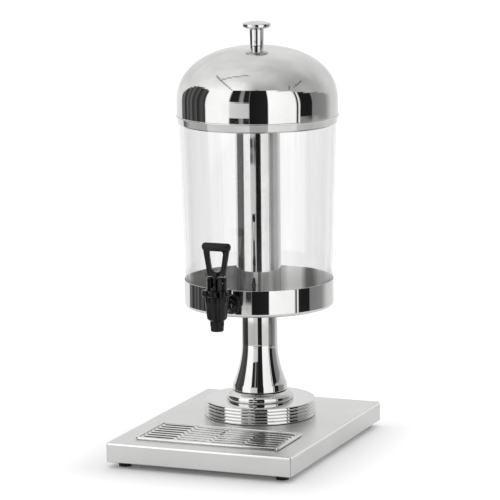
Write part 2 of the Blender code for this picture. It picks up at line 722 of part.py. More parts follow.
def tank_clamp(steel, silicone):
    """Gasket and round nut that clamp the tank's floor down onto the ring."""
    place = (0, AXIS_SETBACK, TANK_GASKET_BASE)
    gasket = [(ROD_HOLE, 0), (TANK_GASKET_RADIUS, 0), (TANK_GASKET_RADIUS, TANK_GASKET_HEIGHT),
              (ROD_HOLE, TANK_GASKET_HEIGHT)]
    finish_object("tank_gasket", turned(gasket, SMALL_STEPS), silicone, place)
    chamfer = TANK_NUT_CHAMFER
    round_nut = [(ROD_HOLE, 0), (TANK_NUT_RADIUS, 0), (TANK_NUT_RADIUS, TANK_NUT_HEIGHT - chamfer),
                 (TANK_NUT_RADIUS - chamfer, TANK_NUT_HEIGHT), (ROD_HOLE, TANK_NUT_HEIGHT)]
    finish_object("tank_nut", turned(round_nut, SMALL_STEPS), steel, (0, AXIS_SETBACK, TANK_NUT_BASE))


# Ice tube and lid

def ice_tube(finish, carrier):
    """Steel tube open at the top, its floor raised clear of the tank nut."""
    inner = ICE_RADIUS - ICE_SHEET
    outline = [(0, ICE_FLOOR), (inner, ICE_FLOOR), (inner, 0), (ICE_RADIUS, 0),
               (ICE_RADIUS, ICE_LENGTH - 3 * ICE_BEAD), (ICE_RADIUS + ICE_BEAD, ICE_LENGTH - 2 * ICE_BEAD),
               (ICE_RADIUS + ICE_BEAD, ICE_LENGTH - ICE_BEAD), (ICE_RADIUS, ICE_LENGTH), (inner, ICE_LENGTH),
               (inner, ICE_FLOOR + ICE_SHEET), (0, ICE_FLOOR + ICE_SHEET)]
    piece = finish_object("ice_tube", turned(outline, MEDIUM_STEPS), finish)
    piece.parent = carrier
    return piece


def dome_height(radius, full_radius, rise):
    """Height of the dome over its equator: a superellipse, flatter at the crown."""
    across = min(radius / full_radius, 1)
    return rise * (1 - across ** DOME_CROWN_SHARE) ** (1 / DOME_SIDE_SHARE)


def dome_side(full_radius, rise, angles):
    """Points of the dome from its equator to the knob's hole, closer together at the shoulder."""
    points = []
    for angle in angles:
        radius = full_radius * math.cos(math.radians(angle))
        points.append((radius, DOME_EQUATOR + dome_height(radius, full_radius, rise)))
    points.append((KNOB_HOLE, DOME_EQUATOR + dome_height(KNOB_HOLE, full_radius, rise)))
    return points


def lid_dome(finish, carrier):
    """Spun dome with a rolled bead and a short skirt that stands on the tank's rim."""
    bead_low = SKIRT_HEIGHT
    bead_top = SKIRT_HEIGHT + BEAD_HEIGHT
    outer = [(SKIRT_RADIUS, 0), (SKIRT_RADIUS, bead_low), (BEAD_RADIUS, bead_low + BEAD_ROUND),
             (BEAD_RADIUS, bead_top - BEAD_ROUND), (DOME_RADIUS, bead_top)]
    outer += dome_side(DOME_RADIUS, DOME_RISE, DOME_OUTER_DEGREES)
    inner = dome_side(DOME_RADIUS - DOME_SHEET, DOME_RISE - DOME_SHEET, DOME_INNER_DEGREES)
    inner_low = [(DOME_RADIUS - DOME_SHEET, bead_top), (SKIRT_RADIUS - DOME_SHEET, bead_low),
                 (SKIRT_RADIUS - DOME_SHEET, 0)]
    outline = outer + list(reversed(inner)) + inner_low
    piece = finish_object("lid_dome", turned(outline, LARGE_STEPS), finish)
    piece.parent = carrier
    return piece


def lid_seat_ring(finish, carrier):
    """Ring inside the skirt: its flange lies on the tank's rim and its lip drops inside it."""
    outer = SKIRT_RADIUS - DOME_SHEET - GAP
    inner_wall = TANK_TOP_RADIUS - TANK_WALL - SEAT_RING_PLAY
    inner = inner_wall - SEAT_RING_SHEET
    seat = SKIRT_OVERLAP + GAP
    low = seat - SEAT_RING_DROP
    outline = [(inner, low), (inner_wall, low), (inner_wall, seat), (outer, seat),
               (outer, seat + SEAT_RING_SHEET), (inner, seat + SEAT_RING_SHEET)]
    piece = finish_object("lid_seat_ring", turned(outline, LARGE_STEPS), finish)
    piece.parent = carrier
    return piece


def lid_knob(steel, plain, carrier):
    """Mushroom knob that stands on the dome, and the screw and washer that hold it from inside."""
    bore_top = KNOB_SCREW_GRIP + GAP
    cone_top = KNOB_STEM_HEIGHT + KNOB_CONE_HEIGHT
    edge_top = cone_top + KNOB_EDGE_HEIGHT
    waist_share, stem_share = KNOB_STEM_HEIGHT_SHARES
    knob = [(0, bore_top), (KNOB_HOLE, bore_top), (KNOB_HOLE, 0), (KNOB_FOOT_RADIUS, 0),
            (KNOB_WAIST_RADIUS, KNOB_STEM_HEIGHT * waist_share),
            (KNOB_STEM_RADIUS, KNOB_STEM_HEIGHT * stem_share), (KNOB_STEM_RADIUS, KNOB_STEM_HEIGHT),
            (KNOB_CAP_RADIUS, cone_top), (KNOB_CAP_RADIUS, edge_top)]
    for share in KNOB_CROWN_SHARES:
        knob.append((KNOB_CAP_RADIUS * share, edge_top + KNOB_CROWN_HEIGHT * (1 - share ** 2)))
    knob.append((0, edge_top + KNOB_CROWN_HEIGHT))
    cap = finish_object("lid_knob", turned(knob, SMALL_STEPS), steel, (0, 0, KNOB_BASE - LID_BASE))
    cap.parent = carrier

    washer_base = KNOB_WASHER_BASE - LID_BASE
    washer = [(KNOB_HOLE, 0), (KNOB_WASHER_RADIUS, 0), (KNOB_WASHER_RADIUS, KNOB_WASHER_HEIGHT),
              (KNOB_HOLE, KNOB_WASHER_HEIGHT)]
    finish_object("knob_washer", turned(washer, SMALL_STEPS), plain, (0, 0, washer_base)).parent = carrier

    head_top = washer_base - GAP
    screw_top = KNOB_BASE - LID_BASE + KNOB_SCREW_GRIP
    screw = [(0, head_top - KNOB_HEAD_HEIGHT), (KNOB_HEAD_RADIUS, head_top - KNOB_HEAD_HEIGHT),
             (KNOB_HEAD_RADIUS, head_top), (KNOB_SCREW_RADIUS, head_top), (KNOB_SCREW_RADIUS, screw_top),
             (0, screw_top)]
    finish_object("knob_screw", turned(screw, TINY_STEPS), plain).parent = carrier


# Tap

def tap_body(finish, carrier):
    """Moulded body: a round spout under a six-lobed barrel, and a flanged shank through the ring."""
    spout_low = -SPOUT_DROP
    spout_top = spout_low + SPOUT_LENGTH
    barrel_low = spout_top + BODY_SHOULDER
    outer = [(SPOUT_TIP_RADIUS - SPOUT_ROUND, spout_low), (SPOUT_TIP_RADIUS, spout_low + SPOUT_ROUND),
             (SPOUT_RADIUS, spout_top), (BODY_LOW_RADIUS - BODY_ROUND, barrel_low - BODY_ROUND),
             (BODY_LOW_RADIUS, barrel_low + BODY_ROUND), (BODY_TOP_RADIUS, BODY_RISE)]
    shares = [0, 0, 0, BODY_LOBE_SHARE, BODY_LOBE_SHARE, BODY_LOBE_SHARE]
    inner = [(SOCKET_RADIUS, BODY_RISE), (SOCKET_RADIUS, CHAMBER_RISE), (CHAMBER_RADIUS, CHAMBER_RISE),
             (CHAMBER_RADIUS, -SEAT_DROP), (SPOUT_BORE, -SEAT_DROP), (SPOUT_BORE, spout_low)]
    bm = turned(outer + inner, LOBED_STEPS, shares + [0] * len(inner))
    piece = finish_object("tap_body", bm, finish)
    piece.parent = carrier

    flange_back = TAP_REACH - TAP_GASKET_THICKNESS - GAP
    flange_front = flange_back - FLANGE_THICKNESS
    tube_start = (CHAMBER_RADIUS + BODY_LOW_RADIUS) / 2
    shank = [(0, tube_start), (SHANK_RADIUS, tube_start), (SHANK_RADIUS, flange_front),
             (FLANGE_RADIUS, flange_front), (FLANGE_RADIUS, flange_back), (SHANK_RADIUS, flange_back),
             (SHANK_RADIUS, shank_tip()), (0, shank_tip())]
    tube = helper("shank_shape", laid_along_y(turned(shank, SMALL_STEPS)))
    tube.parent = carrier
    join(piece, tube)
    bore = helper("shank_bore", laid_along_y(cylinder(SHANK_BORE, 0, shank_tip() + OVERRUN, TINY_STEPS)))
    bore.parent = carrier
    cut(piece, bore)
    return piece


def tank_inside_at_tap():
    """Distance from the tap's axis to the tank's inner wall, level with the shank."""
    wall = tank_radius(TAP_Z - TANK_BASE) - TANK_WALL
    return TAP_REACH + RING_RADIUS - wall


def tap_nut_start():
    return tank_inside_at_tap() + INNER_GASKET_THICKNESS + GAP


def shank_tip():
    return tap_nut_start() + TAP_NUT_THICKNESS + SHANK_END


def tap_seals(rubber, plastic, carrier):
    """Outer gasket hollowed to the ring, inner gasket rounded to the tank's wall, and the nut."""
    front = TAP_REACH - TAP_GASKET_THICKNESS
    back = TAP_REACH + TAP_GASKET_THICKNESS
    outer = [(SHANK_HOLE, front), (TAP_GASKET_RADIUS, front), (TAP_GASKET_RADIUS, back), (SHANK_HOLE, back)]
    gasket = finish_object("tap_outer_gasket", laid_along_y(turned(outer, SMALL_STEPS)), rubber)
    gasket.parent = carrier
    ring_outside = cylinder(RING_RADIUS + GAP, -RING_HEIGHT, RING_HEIGHT, 4 * LARGE_STEPS)
    drum = helper("ring_outside", ring_outside, (0, TAP_REACH + RING_RADIUS, 0))
    drum.parent = carrier
    cut(gasket, drum)

    front = tank_inside_at_tap() - INNER_GASKET_THICKNESS
    back = tank_inside_at_tap() + INNER_GASKET_THICKNESS
    inner = [(SHANK_HOLE, front), (INNER_GASKET_RADIUS, front), (INNER_GASKET_RADIUS, back),
             (SHANK_HOLE, back)]
    washer = finish_object("tap_inner_gasket", laid_along_y(turned(inner, SMALL_STEPS)), rubber)
    washer.parent = carrier
    low = -RING_HEIGHT / 2
    high = RING_HEIGHT
    low_radius = tank_radius(TAP_Z + low - TANK_BASE) - TANK_WALL - GAP
    high_radius = tank_radius(TAP_Z + high - TANK_BASE) - TANK_WALL - GAP
    tank_inside = turned([(0, low), (low_radius, low), (high_radius, high), (0, high)], 4 * LARGE_STEPS)
    core = helper("tank_inside", tank_inside, (0, TAP_REACH + RING_RADIUS, 0))
    core.parent = carrier
    combine(washer, core, "INTERSECT")

    nut_start = tap_nut_start()
    block = finish_object("tap_nut", laid_along_y(slab(hexagon(TAP_NUT_WIDTH), nut_start,
                                                       nut_start + TAP_NUT_THICKNESS)), plastic)
    block.parent = carrier
    drill = helper("tap_nut_hole", laid_along_y(cylinder(SHANK_HOLE, nut_start - OVERRUN,
                                                         nut_start + TAP_NUT_THICKNESS + OVERRUN,
                                                         SMALL_STEPS)))
    drill.parent = carrier
    cut(block, drill)


def tap_bonnet(finish, carrier):
    """Screwed-in cap: plug, six-lobed grip collar, and a slotted tower with the pin's two cheeks."""
    hole = STEM_RADIUS + GAP
    plug = SOCKET_RADIUS - GAP
    collar_top = TOWER_BASE
    outline = [(hole, COLLAR_BASE - PLUG_DEPTH), (plug, COLLAR_BASE - PLUG_DEPTH), (plug, COLLAR_BASE),
               (COLLAR_RADIUS - COLLAR_ROUND, COLLAR_BASE), (COLLAR_RADIUS, COLLAR_BASE + COLLAR_ROUND),
               (COLLAR_RADIUS, collar_top - COLLAR_ROUND), (COLLAR_RADIUS - COLLAR_ROUND, collar_top),
               (TOWER_RADIUS, collar_top), (TOWER_RADIUS, TOWER_TOP - TOWER_ROUND),
               (TOWER_RADIUS - TOWER_ROUND, TOWER_TOP), (hole, TOWER_TOP)]
    shares = [0, 0, 0, COLLAR_LOBE_SHARE, COLLAR_LOBE_SHARE, COLLAR_LOBE_SHARE, COLLAR_LOBE_SHARE,
              0, 0, 0, 0]
    piece = finish_object("tap_bonnet", turned(outline, LOBED_STEPS, shares), finish)
    piece.parent = carrier
    reach = TOWER_RADIUS + OVERRUN
    slot = slab(rectangle(-TOWER_SLOT / 2, TOWER_SLOT / 2, -reach, reach),
                TOWER_TOP - TOWER_SLOT_DEPTH, TOWER_TOP + OVERRUN)
    blade = helper("tower_slot", slot)
    blade.parent = carrier
    cut(piece, blade)
    drill = helper("tower_pin_hole", laid_along_x(cylinder(PIN_RADIUS + GAP, -reach, reach, TINY_STEPS)),
                   (0, -PIN_FORWARD, PIN_Z))
    drill.parent = carrier
    cut(piece, drill)
    return piece


def tap_pin(finish, carrier):
    """Pin across the tower's cheeks, on the handle's axis."""
    bm = laid_along_x(cylinder(PIN_RADIUS, -PIN_LENGTH / 2, PIN_LENGTH / 2, TINY_STEPS))
    piece = finish_object("tap_pivot_pin", bm, finish, (0, -PIN_FORWARD, PIN_Z))
    piece.parent = carrier


def tap_stem(finish, silicone, carrier):
    """Stem with a capped neck for the handle's fork, and the soft cup that shuts the outlet."""
    neck_low = CAP_BASE - STEM_NECK_HEIGHT
    outline = [(0, STEM_BASE), (STEM_RADIUS, STEM_BASE), (STEM_RADIUS, neck_low),
               (STEM_NECK_RADIUS, neck_low), (STEM_NECK_RADIUS, CAP_BASE), (STEM_CAP_RADIUS, CAP_BASE),
               (STEM_CAP_RADIUS, CAP_BASE + STEM_CAP_HEIGHT), (0, CAP_BASE + STEM_CAP_HEIGHT)]
    finish_object("tap_stem", turned(outline, TINY_STEPS), finish).parent = carrier
    socket = STEM_RADIUS + GAP
    cup_top = CUP_BASE + CUP_HEIGHT
    socket_low = cup_top - CUP_SOCKET_DEPTH
    cup = [(0, CUP_BASE), (CUP_RADIUS - GAP, CUP_BASE), (CUP_RADIUS, CUP_BASE + CUP_SEAL_HEIGHT),
           (socket + CUP_SEAL_HEIGHT, cup_top), (socket, cup_top), (socket, socket_low), (0, socket_low)]
    finish_object("tap_seat_cup", turned(cup, SMALL_STEPS), silicone).parent = carrier


def eye_outline():
    """Finger eye of the handle: round at the bottom, wider at the top with rounded corners."""
    low = NECK_HEIGHT
    top = low + EYE_HEIGHT
    points = arc(0, low + EYE_LOW_RADIUS, EYE_LOW_RADIUS, 195, 345, 5)
    corner_x = EYE_TOP_HALF_WIDTH - EYE_CORNER
    points += arc(corner_x, top - EYE_CORNER, EYE_CORNER, 0, 90, 3)
    points += arc(-corner_x, top - EYE_CORNER, EYE_CORNER, 90, 180, 3)
    return points


def tap_handle(finish, carrier):
    """Handle of one moulding: fork, hub and tongue on the pin, then the neck, loop and top bar.

    Its origin is on the pin's axis, so all heights and depths here are from the pin.
    """
    rise = NECK_BASE - PIN_Z
    centre = PIN_FORWARD
    half = LOOP_DEPTH / 2
    frame = [(-NECK_HALF_WIDTH, rise), (NECK_HALF_WIDTH, rise), (NECK_HALF_WIDTH, rise + NECK_HEIGHT),
             (LOOP_HALF_WIDTH, rise + LOOP_HEIGHT), (-LOOP_HALF_WIDTH, rise + LOOP_HEIGHT),
             (-NECK_HALF_WIDTH, rise + NECK_HEIGHT)]
    bm = slab(frame, centre - half, centre + half, plane="XZ")
    edges = [edge for edge in bm.edges if abs(edge.verts[0].co.y - edge.verts[1].co.y) < half]
    bmesh.ops.bevel(bm, geom=edges, offset=LOOP_EDGE, segments=1, affect="EDGES")
    piece = finish_object("tap_handle", bm, finish, (0, -PIN_FORWARD, PIN_Z))
    piece.parent = carrier

    eye = slab([(x, z + rise) for x, z in eye_outline()], centre - half - OVERRUN, centre + half + OVERRUN,
               plane="XZ")
    cut(piece, handle_helper("handle_eye", eye, carrier))
    length = BAR_HALF_LENGTH
    grip = [(0, -length), (BAR_RADIUS - BAR_ROUND, -length)]
    grip += [(BAR_RADIUS - BAR_ROUND + a, b) for a, b in arc(0, BAR_ROUND - length, BAR_ROUND, -60, 0, 2)]
    grip += [(a, -b) for a, b in reversed(grip)]
    bar = laid_along_x(turned(grip, SMALL_STEPS))
    bmesh.ops.translate(bar, verts=bar.verts, vec=Vector((0, centre, rise + LOOP_HEIGHT)))
    join(piece, handle_helper("handle_bar", bar, carrier))

    width = TOWER_SLOT / 2 - GAP
    front = -HUB_RADIUS
    rear = centre - STEM_CAP_RADIUS - 2 * GAP
    step = rear + TONGUE_REAR_STEP
    tongue = arc(0, 0, HUB_RADIUS, 180, 360, 8)
    tongue += [(rear, HUB_RADIUS), (rear, rise), (step, rise), (step, rise + NECK_HEIGHT / 2),
               (centre - half, TONGUE_HEIGHT), (front, rise)]
    join(piece, handle_helper("handle_tongue", slab(tongue, -width, width, plane="YZ"), carrier))
    half_fork = FORK_THICKNESS / 2
    prongs = rectangle(0, centre + FORK_REACH, -half_fork, half_fork)
    prong_width = STEM_CAP_RADIUS + FORK_MARGIN
    join(piece, handle_helper("handle_fork", slab(prongs, -prong_width, prong_width, plane="YZ"), carrier))
    gap_start = centre - STEM_RADIUS - GAP
    gap = rectangle(gap_start, centre + FORK_REACH + OVERRUN, -half_fork - GAP, half_fork + GAP)
    cut(piece, handle_helper("fork_gap", slab(gap, -FORK_SLOT / 2, FORK_SLOT / 2, plane="YZ"), carrier))
    drill = laid_along_x(cylinder(PIN_RADIUS + GAP, -TOWER_SLOT, TOWER_SLOT, TINY_STEPS))
    cut(piece, handle_helper("handle_pin_hole", drill, carrier))
    return piece


def handle_helper(name, bm, carrier):
    """A helper shape placed, like the handle, on the pin's axis."""
    shape = helper(name, bm, (0, -PIN_FORWARD, PIN_Z))
    shape.parent = carrier
    return shape


# Assembly

def build():
    for old in list(bpy.data.objects):
        bpy.data.objects.remove(old, do_unlink=True)

    polished = polished_steel()
    satin = satin_steel()
    plain = plain_steel()
    clear = clear_plastic()
    plastic = black_plastic()
    rubber = black_rubber()
    silicone = white_silicone()

    base_plate(satin)
    feet(rubber, plain)
    tray = empty("tray_carrier", (0, TRAY_Y, PLATE_TOP))
    tray_pan(polished, tray)
    tray_grate(polished, tray)

    plinth(polished, (0, AXIS_SETBACK, PLINTH_BASE))
    ogee_base(polished, (0, AXIS_SETBACK, OGEE_BASE))
    column(polished, (0, AXIS_SETBACK, COLUMN_BASE))
    tie_rod(plain)
    support_ring(polished, (0, AXIS_SETBACK, RING_BASE))
    tank(clear, (0, AXIS_SETBACK, TANK_BASE))
    tank_clamp(plain, silicone)
    ice_tube(polished, empty("ice_tube_carrier", (0, AXIS_SETBACK, ICE_BASE)))

    lid = empty("lid_carrier", (0, AXIS_SETBACK, LID_BASE))
    lid_dome(polished, lid)
    lid_seat_ring(plain, lid)
    lid_knob(polished, plain, lid)

    tap = empty("tap_carrier", (0, TAP_Y, TAP_Z))
    tap_body(plastic, tap)
    tap_seals(rubber, plastic, tap)
    tap_bonnet(plastic, tap)
    tap_pin(plain, tap)
    tap_stem(plastic, silicone, tap)
    tap_handle(plastic, tap)
    bpy.context.view_layer.update()


build()
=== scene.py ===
import math

import bmesh
import bpy
import numpy as np
from mathutils import Matrix


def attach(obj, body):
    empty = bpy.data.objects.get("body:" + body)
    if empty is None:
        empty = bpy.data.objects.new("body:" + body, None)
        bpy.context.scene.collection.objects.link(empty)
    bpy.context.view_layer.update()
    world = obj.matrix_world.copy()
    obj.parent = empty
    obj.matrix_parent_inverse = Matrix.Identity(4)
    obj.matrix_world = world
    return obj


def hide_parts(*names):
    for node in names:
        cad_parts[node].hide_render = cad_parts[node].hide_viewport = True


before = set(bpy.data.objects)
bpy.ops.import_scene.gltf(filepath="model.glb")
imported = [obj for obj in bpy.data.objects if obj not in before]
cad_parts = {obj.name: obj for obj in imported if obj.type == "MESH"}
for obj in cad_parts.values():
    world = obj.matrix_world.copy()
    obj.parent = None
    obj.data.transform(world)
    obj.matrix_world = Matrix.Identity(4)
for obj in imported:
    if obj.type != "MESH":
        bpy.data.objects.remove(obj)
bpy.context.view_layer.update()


# Base plate
# Stainless sheet with a satin mill finish, folded down on four sides and turned in again
# underneath. The folds stop short of the corners, which leaves a fine seam and a relief notch.

MM = 0.001


def linear(colour):
    """Linear red, green, blue and alpha of an sRGB hex colour such as #c8c8c6."""
    parts = [int(colour[i:i + 2], 16) / 255 for i in (1, 3, 5)]
    return [c / 12.92 if c <= 0.04045 else ((c + 0.055) / 1.055) ** 2.4 for c in parts] + [1.0]


def fill(node, inputs):
    """Give a node's sockets a value each, or a link where the value is a node or its output."""
    for name, value in inputs.items():
        if isinstance(value, bpy.types.Node):
            value = value.outputs[0]
        if isinstance(value, bpy.types.NodeSocket):
            node.id_data.links.new(value, node.inputs[name])
        else:
            node.inputs[name].default_value = value


def add(tree, kind, inputs=(), **settings):
    """Add a node with its settings, and fill its sockets."""
    made = tree.nodes.new("ShaderNode" + kind)
    for name, value in settings.items():
        setattr(made, name, value)
    fill(made, dict(inputs))
    return made


def new_material(name):
    """An empty material with its node tree and its Principled shader."""
    made = bpy.data.materials.new(name)
    made.use_nodes = True
    return made, made.node_tree, made.node_tree.nodes["Principled BSDF"]


def stretched_noise(tree, size_mm, detail=3.0, place=(0, 0, 0), turn=(0, 0, 0)):
    """Noise on Object coordinates whose grains measure size_mm along X, Y and Z."""
    where = add(tree, "TexCoord").outputs["Object"]
    mapped = add(tree, "Mapping", {"Vector": where, "Location": place, "Rotation": turn,
                                   "Scale": [1 / (size * MM) for size in size_mm]})
    return add(tree, "TexNoise", {"Vector": mapped, "Scale": 1.0, "Detail": detail,
                                  "Roughness": 0.6}).outputs["Fac"]


def object_place(tree, axis):
    """Object coordinate along one axis."""
    where = add(tree, "TexCoord").outputs["Object"]
    return add(tree, "SeparateXYZ", {"Vector": where}).outputs[axis]


def spread(tree, source, low, high, start=0.3, end=0.7):
    """Carry a source that runs from start to end over to the range from low to high."""
    return add(tree, "MapRange", {"Value": source, "From Min": start, "From Max": end,
                                  "To Min": low, "To Max": high})


def product(tree, first, second):
    """Product of two sources, or of a source and a number."""
    return add(tree, "Math", {0: first, 1: second}, operation="MULTIPLY")


def window(tree, source, start, full, fade, end):
    """1 while a source runs from full to fade, 0 beyond start and end, and straight between."""
    return product(tree, spread(tree, source, 0, 1, start, full),
                   spread(tree, source, 1, 0, fade, end))


def blend_colours(tree, factor, first, second):
    """Mix two colours by a factor. Each is a hex value or another node's output."""
    first, second = (linear(c) if isinstance(c, str) else c for c in (first, second))
    return add(tree, "Mix", {"Factor": factor, "A": first, "B": second},
               data_type="RGBA").outputs["Result"]


def grid_faces(rows, columns, around, along):
    """Four-sided faces between the neighbours of a grid. around closes each row on itself, and
    along closes each column."""
    index = np.arange(rows * columns).reshape(rows, columns)
    if along:
        index = np.vstack([index, index[:1]])
    if around:
        index = np.hstack([index, index[:, :1]])
    return np.stack([index[:-1, :-1], index[:-1, 1:], index[1:, 1:], index[1:, :-1]],
                    axis=-1).reshape(-1, 4)


def riding_piece(name, points, faces, material, body, nodes=(), sharp=40):
    """Make points, in millimetres, and faces into a piece that rides on a body: doubles merged,
    faces turned outward, and smooth except at edges sharper than an angle."""
    mesh = bpy.data.meshes.new(name)
    mesh.from_pydata((points * MM).reshape(-1, 3), [], faces)
    bm = bmesh.new()
    bm.from_mesh(mesh)
    bmesh.ops.remove_doubles(bm, verts=bm.verts, dist=MM / 1000)
    bmesh.ops.recalc_face_normals(bm, faces=bm.faces)
    bm.to_mesh(mesh)
    bm.free()
    mesh.shade_smooth()
    mesh.set_sharp_from_angle(angle=math.radians(sharp))
    mesh.materials.append(material)
    piece = bpy.data.objects.new(name, mesh)
    bpy.context.collection.objects.link(piece)
    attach(piece, body)
    if nodes:
        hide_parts(*nodes)
    return piece


def mesh_piece(name, points, around, along, material, body, nodes=(), caps=(), sharp=40):
    """Make a grid of points into a piece. Its rows lie along the profile and its columns along
    the path, and caps names rows that get a flat face."""
    grid = np.asarray(points, dtype=float)
    rows, columns = grid.shape[:2]
    loops = np.arange(rows * columns).reshape(rows, columns)
    faces = grid_faces(rows, columns, around, along).tolist()
    faces += [loops[row].tolist() for row in caps]
    return riding_piece(name, grid, faces, material, body, nodes, sharp)


def filleted(corners, steps=6):
    """Round the corners of a closed outline: each (a, b, radius) becomes an arc that touches
    both of its sides. A corner of radius 0 stays sharp."""
    spots = np.array([corner[:2] for corner in corners], dtype=float)
    result = []
    for i, (spot, (_, _, radius)) in enumerate(zip(spots, corners)):
        before = spots[i - 1] - spot
        after = spots[(i + 1) % len(spots)] - spot
        before = before / max(np.linalg.norm(before), 1e-9)
        after = after / max(np.linalg.norm(after), 1e-9)
        half = math.acos(np.clip(before @ after, -1, 1)) / 2
        if radius == 0 or abs(half - math.pi / 2) < 0.01:
            result.append(spot[None])
            continue
        middle = (before + after) / np.linalg.norm(before + after)
        centre = spot + middle * radius / math.sin(half)
        start = spot + before * radius / math.tan(half) - centre
        end = spot + after * radius / math.tan(half) - centre
        share = np.linspace(0, 1, steps + 1)[:, None]
        sweep = math.acos(np.clip(start @ end / radius ** 2, -1, 1))
        arc = (np.sin((1 - share) * sweep) * start + np.sin(share * sweep) * end) / math.sin(sweep)
        result.append(centre + arc)
    return np.vstack(result)


def held(outline, closed=True, least=2.0, near=0.1):
    """Put a point close to both ends of each long stretch of an outline, so that smooth shading
    stays on the bends."""
    outline = np.asarray(outline, dtype=float)
    after = np.roll(outline, -1, axis=0)
    length = np.linalg.norm(after - outline, axis=-1, keepdims=True)
    step = near * (after - outline) / np.maximum(length, near)
    keep = np.repeat(length > least, 3, axis=1)
    keep[:, 0] = True
    if not closed:
        keep[-1, 1:] = False
    return np.stack([outline, outline + step, after - step], axis=1)[keep]


def satin_sheet(name, grain_turn, bend_levels):
    """Cold-rolled stainless sheet with a satin face: fine rolling lines along one direction,
    which blur what it mirrors, faint cloudy wear over them, and bends painted near white as a
    highlight line, and glossier."""
    made, tree, shader = new_material(name)
    lines = stretched_noise(tree, (60, 0.35, 60), detail=2.0, turn=grain_turn)
    clouds = stretched_noise(tree, (70, 70, 70), place=(3, 1, 2))
    bend = window(tree, object_place(tree, "Z"), *(level * MM for level in bend_levels))
    worn = blend_colours(tree, spread(tree, clouds, 0, 1), "#d8d8d7", "#e0e0df")
    dull = spread(tree, product(tree, lines, clouds), 0.28, 0.36, 0.1, 0.45)
    # The bend's near-white colour is a painted highlight along each fold; its lower roughness is
    # the finish.
    fill(shader, {"Base Color": blend_colours(tree, bend, worn, "#f8f8f7"), "Metallic": 1.0,
                  "Roughness": add(tree, "Mix", {"Factor": bend, "A": dull, "B": 0.16}),
                  "Normal": add(tree, "Bump", {"Height": lines, "Strength": 0.01,
                                               "Distance": 0.00001})})
    return made


def matt_black(name):
    """EPDM rubber, or a near-black sheet that stands in as painted shade inside the plate: nearly
    black, matt, with a fine pebble and some dust on it."""
    made, tree, shader = new_material(name)
    dust = stretched_noise(tree, (2.5, 2.5, 2.5), detail=4)
    fill(shader, {"Base Color": blend_colours(tree, spread(tree, dust, 0, 1), "#141414", "#232322"),
                  "Roughness": spread(tree, dust, 0.62, 0.82),
                  "Normal": add(tree, "Bump", {"Height": dust, "Strength": 0.3,
                                               "Distance": 0.0001})})
    return made


def second_material(piece, material, choose):
    """Give a second material to the faces that choose picks by their middles, in millimetres,
    and their normals."""
    count = len(piece.data.polygons)
    normal, middle = np.empty(count * 3), np.empty(count * 3)
    piece.data.polygons.foreach_get("normal", normal)
    piece.data.polygons.foreach_get("center", middle)
    picked = choose(middle.reshape(-1, 3) / MM, normal.reshape(-1, 3))
    piece.data.materials.append(material)
    piece.data.polygons.foreach_set("material_index", picked.astype(np.int32))


plate_width, plate_depth, plate_top, plate_low = 260.0, 350.0, 34.0, 7.5
plate_sheet, plate_bend, plate_corner, plate_flange = 1.2, 3.0, 2.5, 32.0
seam_half, notch_depth, notch_height, notch_reach = 1.5, 1.6, 31.4, 0.9
tray_width, tray_depth, tray_y, tray_corner = 203.0, 95.0, -99.5, 6.0
sheet_steel = satin_sheet("satin_mill_finish_steel", (0, 0, 0), (30.8, 31.3, 32.9, 33.6))
# Near-black painted shade for the inside of the folded plate and the cut ends at its seams.
inside_shade_paint = matt_black("black_painted_shade")


def round_rectangle(width, depth, corner, centre_y=0.0, steps=8):
    """Rectangle with rounded corners, as points from its +X side round by +Y."""
    turn = (np.arange(4)[:, None] * 90 + np.linspace(0, 90, steps + 1)[None]) * math.pi / 180
    side_x = np.array([1, -1, -1, 1])[:, None]
    side_y = np.array([1, 1, -1, -1])[:, None]
    x = side_x * (width / 2 - corner) + corner * np.cos(turn)
    y = side_y * (depth / 2 - corner) + corner * np.sin(turn) + centre_y
    return np.stack([x.ravel(), y.ravel()], axis=-1)


def at_height(loop, height):
    """The points of a flat loop with a third coordinate, the same for all."""
    return np.column_stack([loop, np.full(len(loop), height)])


def frame_sweep(outline, width, depth, corner, centre_y=0.0, least=0.6):
    """Carry (inset, height) points round a rounded rectangle whose corner shrinks as they
    move in, as one grid with a row for each point."""
    return np.array([at_height(round_rectangle(width - 2 * inset, depth - 2 * inset,
                                               max(corner - inset, least), centre_y), height)
                     for inset, height in outline])


def folded_side(name, half_length, half_across, turn):
    """One folded side of the plate: the bend, the upright face and the flange turned in below.

    Its section runs along the side and half way round both corners. Its ends stop short of the
    corner's diagonal by half a seam, and by more at the relief notch near the top.
    """
    section = held(filleted([(plate_bend, plate_top, 0), (0, plate_top, plate_bend),
                             (0, plate_low, 1.2), (plate_flange, plate_low, 0),
                             (plate_flange, plate_low + plate_sheet, 0),
                             (plate_sheet, plate_low + plate_sheet, 0),
                             (plate_sheet, plate_top - plate_sheet, plate_bend - plate_sheet),
                             (plate_bend, plate_top - plate_sheet, 0)]), closed=False)
    inset, height = section[:, 0][:, None], section[:, 1][:, None]
    radius = np.maximum(plate_corner - inset, 0.3)
    angle = np.radians(np.linspace(45, 90, 9))[None]
    seam = seam_half + notch_depth * np.exp(-((height - notch_height) / notch_reach) ** 2)
    along = half_length - inset - radius + radius * np.cos(angle) - seam * (angle == angle.min())
    across = half_across - inset - radius + radius * np.sin(angle)
    along = np.hstack([along, -along[:, ::-1]])
    across = np.hstack([across, across[:, ::-1]])
    height = np.broadcast_to(height, along.shape)
    cos, sin = math.cos(turn), math.sin(turn)
    points = np.stack([along * cos - across * sin, along * sin + across * cos, height], axis=-1)
    piece = mesh_piece(name, points.transpose(1, 0, 2), True, False, sheet_steel, "stand",
                       caps=(0, -1), sharp=30)
    # The faces inside the plate and the cut ends at the seams get the painted shade.
    second_material(piece, inside_shade_paint, faces_in_painted_shade)


